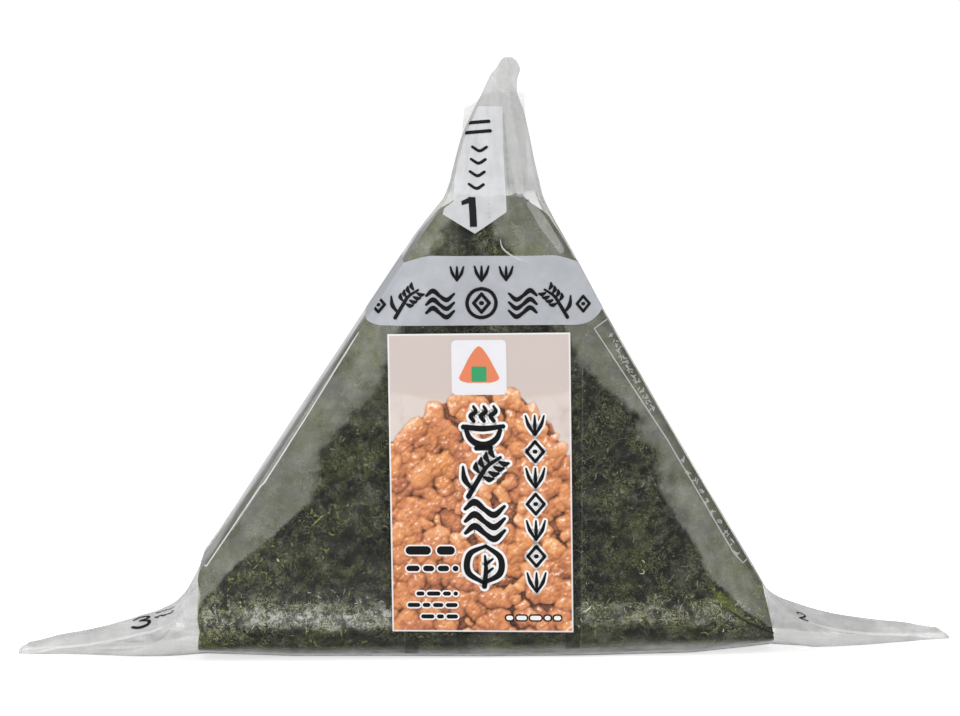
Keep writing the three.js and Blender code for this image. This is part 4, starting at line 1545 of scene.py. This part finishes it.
def steaming_bowl():
    """A bowl on a foot, with three wisps above it."""
    rim = ([(-0.46, 0.02), (0.0, -0.02), (0.47, 0.03)], (0.10, 0.12, 0.08))
    bowl = (arc((0, 0.0), 0.4, 188, 352), (0.08, 0.13, 0.13, 0.08))
    foot = ([(-0.16, -0.48), (0.17, -0.47)], (0.10, 0.09))
    steam = []
    for x in (-0.22, 0.02, 0.25):
        steam.append(([(x, 0.16), (x - 0.07, 0.28), (x + 0.05, 0.38), (x, 0.5)], (0.07, 0.09, 0.04)))
    return [rim, bowl, foot] + steam


def leaf_pair():
    """One round leaf with its vein and two ribs."""
    left = ([(-0.04, -0.42), (-0.40, -0.16), (-0.36, 0.26), (0.02, 0.46)], (0.06, 0.13, 0.12, 0.05))
    right = ([(0.02, 0.46), (0.36, 0.18), (0.34, -0.2), (-0.04, -0.42)], (0.06, 0.12, 0.13, 0.06))
    vein = ([(-0.02, -0.5), (0.02, -0.1), (0.0, 0.22)], (0.10, 0.08, 0.03))
    ribs = [([(0.01, y), (0.18, y + 0.13)], (0.07, 0.03)) for y in (-0.2, 0.02)]
    return [left, right, vein] + ribs


def waves():
    """Three brush waves, one above the other."""
    wave = np.array(((-0.46, 0.0), (-0.24, 0.16), (0.0, -0.02), (0.22, -0.14), (0.46, 0.06)))
    return [(wave + (0, y), (0.06, 0.15, 0.09, 0.14, 0.05)) for y in (0.27, -0.02, -0.3)]


def small_fan():
    """Three blades from one foot."""
    return [([(0.0, -0.42), (x, 0.0), (x * 1.5, 0.4)], (0.07, 0.15, 0.06)) for x in (-0.26, 0.0, 0.26)]


def small_diamond():
    """A lozenge with a dot in the middle."""
    corners = np.array(((0, 0.42), (0.36, 0), (0, -0.42), (-0.36, 0), (0, 0.42)))
    return [(corners[k : k + 2], (0.12, 0.12)) for k in range(4)] + [([(-0.02, 0.0), (0.02, 0.0)], (0.16, 0.16))]


# %% Laying marks on the sticker
def place_motifs(motifs, size):
    """Strokes in label measures from (motif, middle) pairs: sizes in mm."""
    return [
        (np.asarray(path, float) * size + middle, np.asarray(widths) * size)
        for motif, middle in motifs
        for path, widths in motif()
    ]


def bar_rows(rows):
    """Rows of short rounded bars, each row given as (left, right, height, thickness, seed)."""
    strokes = []
    for left, right, y, thickness, seed in rows:
        draw, x = np.random.default_rng(seed), left
        while x < right:
            length = min(draw.uniform(1.3, 3.4) * thickness, right - x)
            strokes.append(([(x, y), (x + max(0.05, length - thickness), y)], (thickness, thickness)))
            x += length + 0.75 * thickness
    return strokes


def lay_on_label(name, strokes, ink, lift, grow=0.0):
    """Lays brush strokes on the sticker as one piece of print, each made wider by grow on all sides."""
    drawn = [brush(path, widths, grow) for path, widths in strokes]
    grids = [(on_label(grid[..., 0], grid[..., 1], lift), False, True) for grid in drawn]
    return fit_out(skin(name, grids, ink, weld=False), "label")


# %% Marks
BIG_MARK, SMALL_MARK = 7.7, 4.3
big_marks = place_motifs(
    ((steaming_bowl, (0.5, 37.2)), (rice_ear, (0.3, 28.6)), (waves, (0.6, 20.4)), (leaf_pair, (0.5, 12.2))), BIG_MARK
)
small_marks = place_motifs(
    [((small_fan, small_diamond)[k % 2], (9.8, 37.6 - 4.75 * k)) for k in range(7)], SMALL_MARK
)
bars = bar_rows((
    (-13.0, -4.2, 14.9, 1.5, 5), (-13.2, -4.2, 11.6, 0.95, 6),
    (-11.6, -4.2, 7.0, 0.7, 8), (-13.2, -4.2, 4.9, 0.7, 9), (-10.8, -4.2, 2.8, 0.7, 10),
))
corner_bars = bar_rows(((4.6, 14.6, 2.6, 0.8, 11),))
print("strokes on the sticker", len(big_marks) + len(small_marks) + len(bars) + len(corner_bars))
label_white = make_ink("label_white_ink", (0.88, 0.88, 0.88), 0.45)
lay_on_label("mark_edges", big_marks, label_white, 0.03, 0.55)
lay_on_label("small_mark_edges", small_marks, label_white, 0.03, 0.38)
lay_on_label("bar_edges", bars, label_white, 0.03, 0.3)
lay_on_label("corner_bar_edges", corner_bars, black_ink, 0.03, 0.28)
lay_on_label("marks", big_marks, black_ink, 0.06, 0.09)
lay_on_label("small_marks_and_bars", small_marks + bars, black_ink, 0.06, 0.03)
lay_on_label("corner_bars", corner_bars, label_white, 0.06)


# %% A plain badge
def rounded_square(middle, half, radius, rows=24):
    """A grid that fills a rounded square: rows from bottom to top, each as wide as the outline there."""
    up = half * np.cos(np.linspace(np.pi, 0, rows))[:, None]
    corner = np.maximum(0.0, np.abs(up) - (half - radius))
    width = half - radius + np.sqrt(np.maximum(0.0, radius**2 - corner**2))
    return np.stack([middle[0] + width * np.linspace(-1, 1, 9), np.broadcast_to(middle[1] + up, (rows, 9))], axis=-1)


def badge_piece(name, shapes, ink, lift):
    """One flat shape of the badge on the sticker."""
    grids = [(on_label(shape[..., 0], shape[..., 1], lift), False, False) for shape in shapes]
    return fit_out(skin(name, grids, ink, weld=False), "label")


def rounded_triangle(middle, size):
    """A rice ball's outline as a filled grid, from its base up to its round top."""
    up = np.linspace(0, 1, 26)[:, None]
    half = size * (0.62 - 0.5 * up) * np.sqrt(np.maximum(0, 1 - ((up - 0.16) / 0.84).clip(0, 1) ** 6))
    half = half * np.sqrt(1 - ((0.16 - up) / 0.16).clip(0, 1) ** 2 * 0.75)
    across = np.linspace(-1, 1, 9)
    return np.stack([middle[0] + half * across, np.broadcast_to(middle[1] + size * (up - 0.45), (26, 9))], axis=-1)


badge_white = make_ink("badge_white", (0.80, 0.79, 0.82), 0.42, mottle=0.01)
badge_orange = make_ink("badge_orange", (0.78, 0.22, 0.10), 0.42, mottle=0.02)
badge_green = make_ink("badge_green", (0.03, 0.33, 0.13), 0.42, mottle=0.02)
badge_piece("badge", [rounded_square((-0.1, 48.1), 4.95, 0.9)], badge_white, 0.08)
badge_piece("badge_rice_ball", [rounded_triangle((-0.1, 48.3), 6.6)], badge_orange, 0.11)
badge_piece("badge_seaweed", [rounded_square((-0.1, 46.9), 1.35, 0.2)], badge_green, 0.14)


# %% [markdown]
# ## The band's ornament
# The band carries a plain drawing in brush strokes: a lozenge in the middle, waves and rice ears to both sides, and
# small fans above. It is the mirror image of itself, as borders on wrappers often are.

# %% Ornament strokes
def mirrored(strokes, centre):
    """The strokes together with their mirror image about an upright line."""
    flipped = [(np.asarray(path, float) * (-1, 1) + (2 * centre, 0), widths) for path, widths in strokes]
    return strokes + flipped


BAND_CENTRE = -1.0
one_side = place_motifs([(small_diamond, (BAND_CENTRE - 18.4, 65.3))], 3.2)
one_side += place_motifs([(rice_ear, (BAND_CENTRE - 13.6, 65.7))], 5.4)
one_side += place_motifs([(waves, (BAND_CENTRE - 7.4, 65.5))], 5.4)
one_side += place_motifs([(small_fan, (BAND_CENTRE - 4.4, 70.9))], 3.0)
middle_part = place_motifs([(small_diamond, (BAND_CENTRE, 65.6))], 3.9)
middle_part += place_motifs([(small_fan, (BAND_CENTRE, 70.9))], 3.2)
ring = [(arc((BAND_CENTRE, 65.6), 2.6, 90, 450, 13), (0.5, 0.5))]
ornament = mirrored(one_side, BAND_CENTRE) + middle_part + ring
ornament = [brush(path, widths, 0.07) for path, widths in ornament]
for part in ("front", "back"):
    print_on_film(f"band_ornament_{part}", ornament, black_ink, 0.13, part)

# %% [markdown]
# ## Lights, floor and surroundings
# The floor is plain and almost white. A wide soft light above gives the film its form, a large one from the left
# front lights the label, and a weaker one from the right opens the shadows. The surroundings are dimmer than
# the floor, so that the seaweed stays dark, but the camera sees them as white.


# %% Stage
def softbox(name, location, target, size, power):
    """A square area light at a place in mm, turned towards a target."""
    data = bpy.data.lights.new(name, "AREA")
    data.shape = "SQUARE"
    data.size = size * MM
    data.energy = power
    light = bpy.data.objects.new(name, data)
    bpy.context.scene.collection.objects.link(light)
    away = np.array(location, float) - np.array(target, float)
    away /= np.linalg.norm(away)
    light.location = np.array(location) * MM
    light.rotation_euler = (math.acos(away[2]), 0.0, math.atan2(away[0], -away[1]))
    return light


def make_floor():
    """A wide disc just below the pack; the camera sees it a little brighter than the light makes it."""
    material, tree, shader = new_material("studio_floor", Roughness=0.9)
    shader.inputs["Base Color"].default_value = (0.93, 0.93, 0.93, 1.0)
    shader.inputs["Emission Color"].default_value = (1.0, 1.0, 1.0, 1.0)
    seen = node(tree, "ShaderNodeLightPath").outputs["Is Camera Ray"]
    tree.links.new(maths(tree, "MULTIPLY", seen, 0.72), shader.inputs["Emission Strength"])
    turn, reach = np.meshgrid(np.linspace(0, 2 * np.pi, 64, endpoint=False), np.array((0.0, 300.0, 2500.0)))
    disc = np.stack([reach * np.cos(turn), reach * np.sin(turn), np.full_like(turn, -0.05)], axis=-1)
    floor = skin("studio_floor", [(disc, True, False)], material, weld=True)
    return floor


def make_surroundings():
    """Dim white light all round, seen as plain white by the camera."""
    world = bpy.data.worlds.new("studio_surroundings")
    world.use_nodes = True
    tree = world.node_tree
    dim = tree.nodes["Background"]
    dim.inputs["Color"].default_value = (1.0, 1.0, 1.0, 1.0)
    dim.inputs["Strength"].default_value = 0.36
    seen = node(tree, "ShaderNodeBackground", {"Color": (1.0, 1.0, 1.0, 1.0), "Strength": 1.05})
    path = node(tree, "ShaderNodeLightPath")
    inputs = {0: path.outputs["Is Camera Ray"], 1: dim.outputs[0], 2: seen.outputs[0]}
    both = node(tree, "ShaderNodeMixShader", inputs)
    tree.links.new(both.outputs[0], tree.nodes["World Output"].inputs["Surface"])
    bpy.context.scene.world = world


# %% Everything round the pack
make_floor()
make_surroundings()
softbox("top_light", (-60, -40, 620), (0, 0, 30), 600, 1.7)
softbox("key_light", (-480, -620, 420), (0, 0, 45), 460, 3.2)
softbox("fill_light", (560, -520, 260), (0, 0, 45), 420, 1.4)
bpy.context.scene.view_settings.view_transform = "Standard"
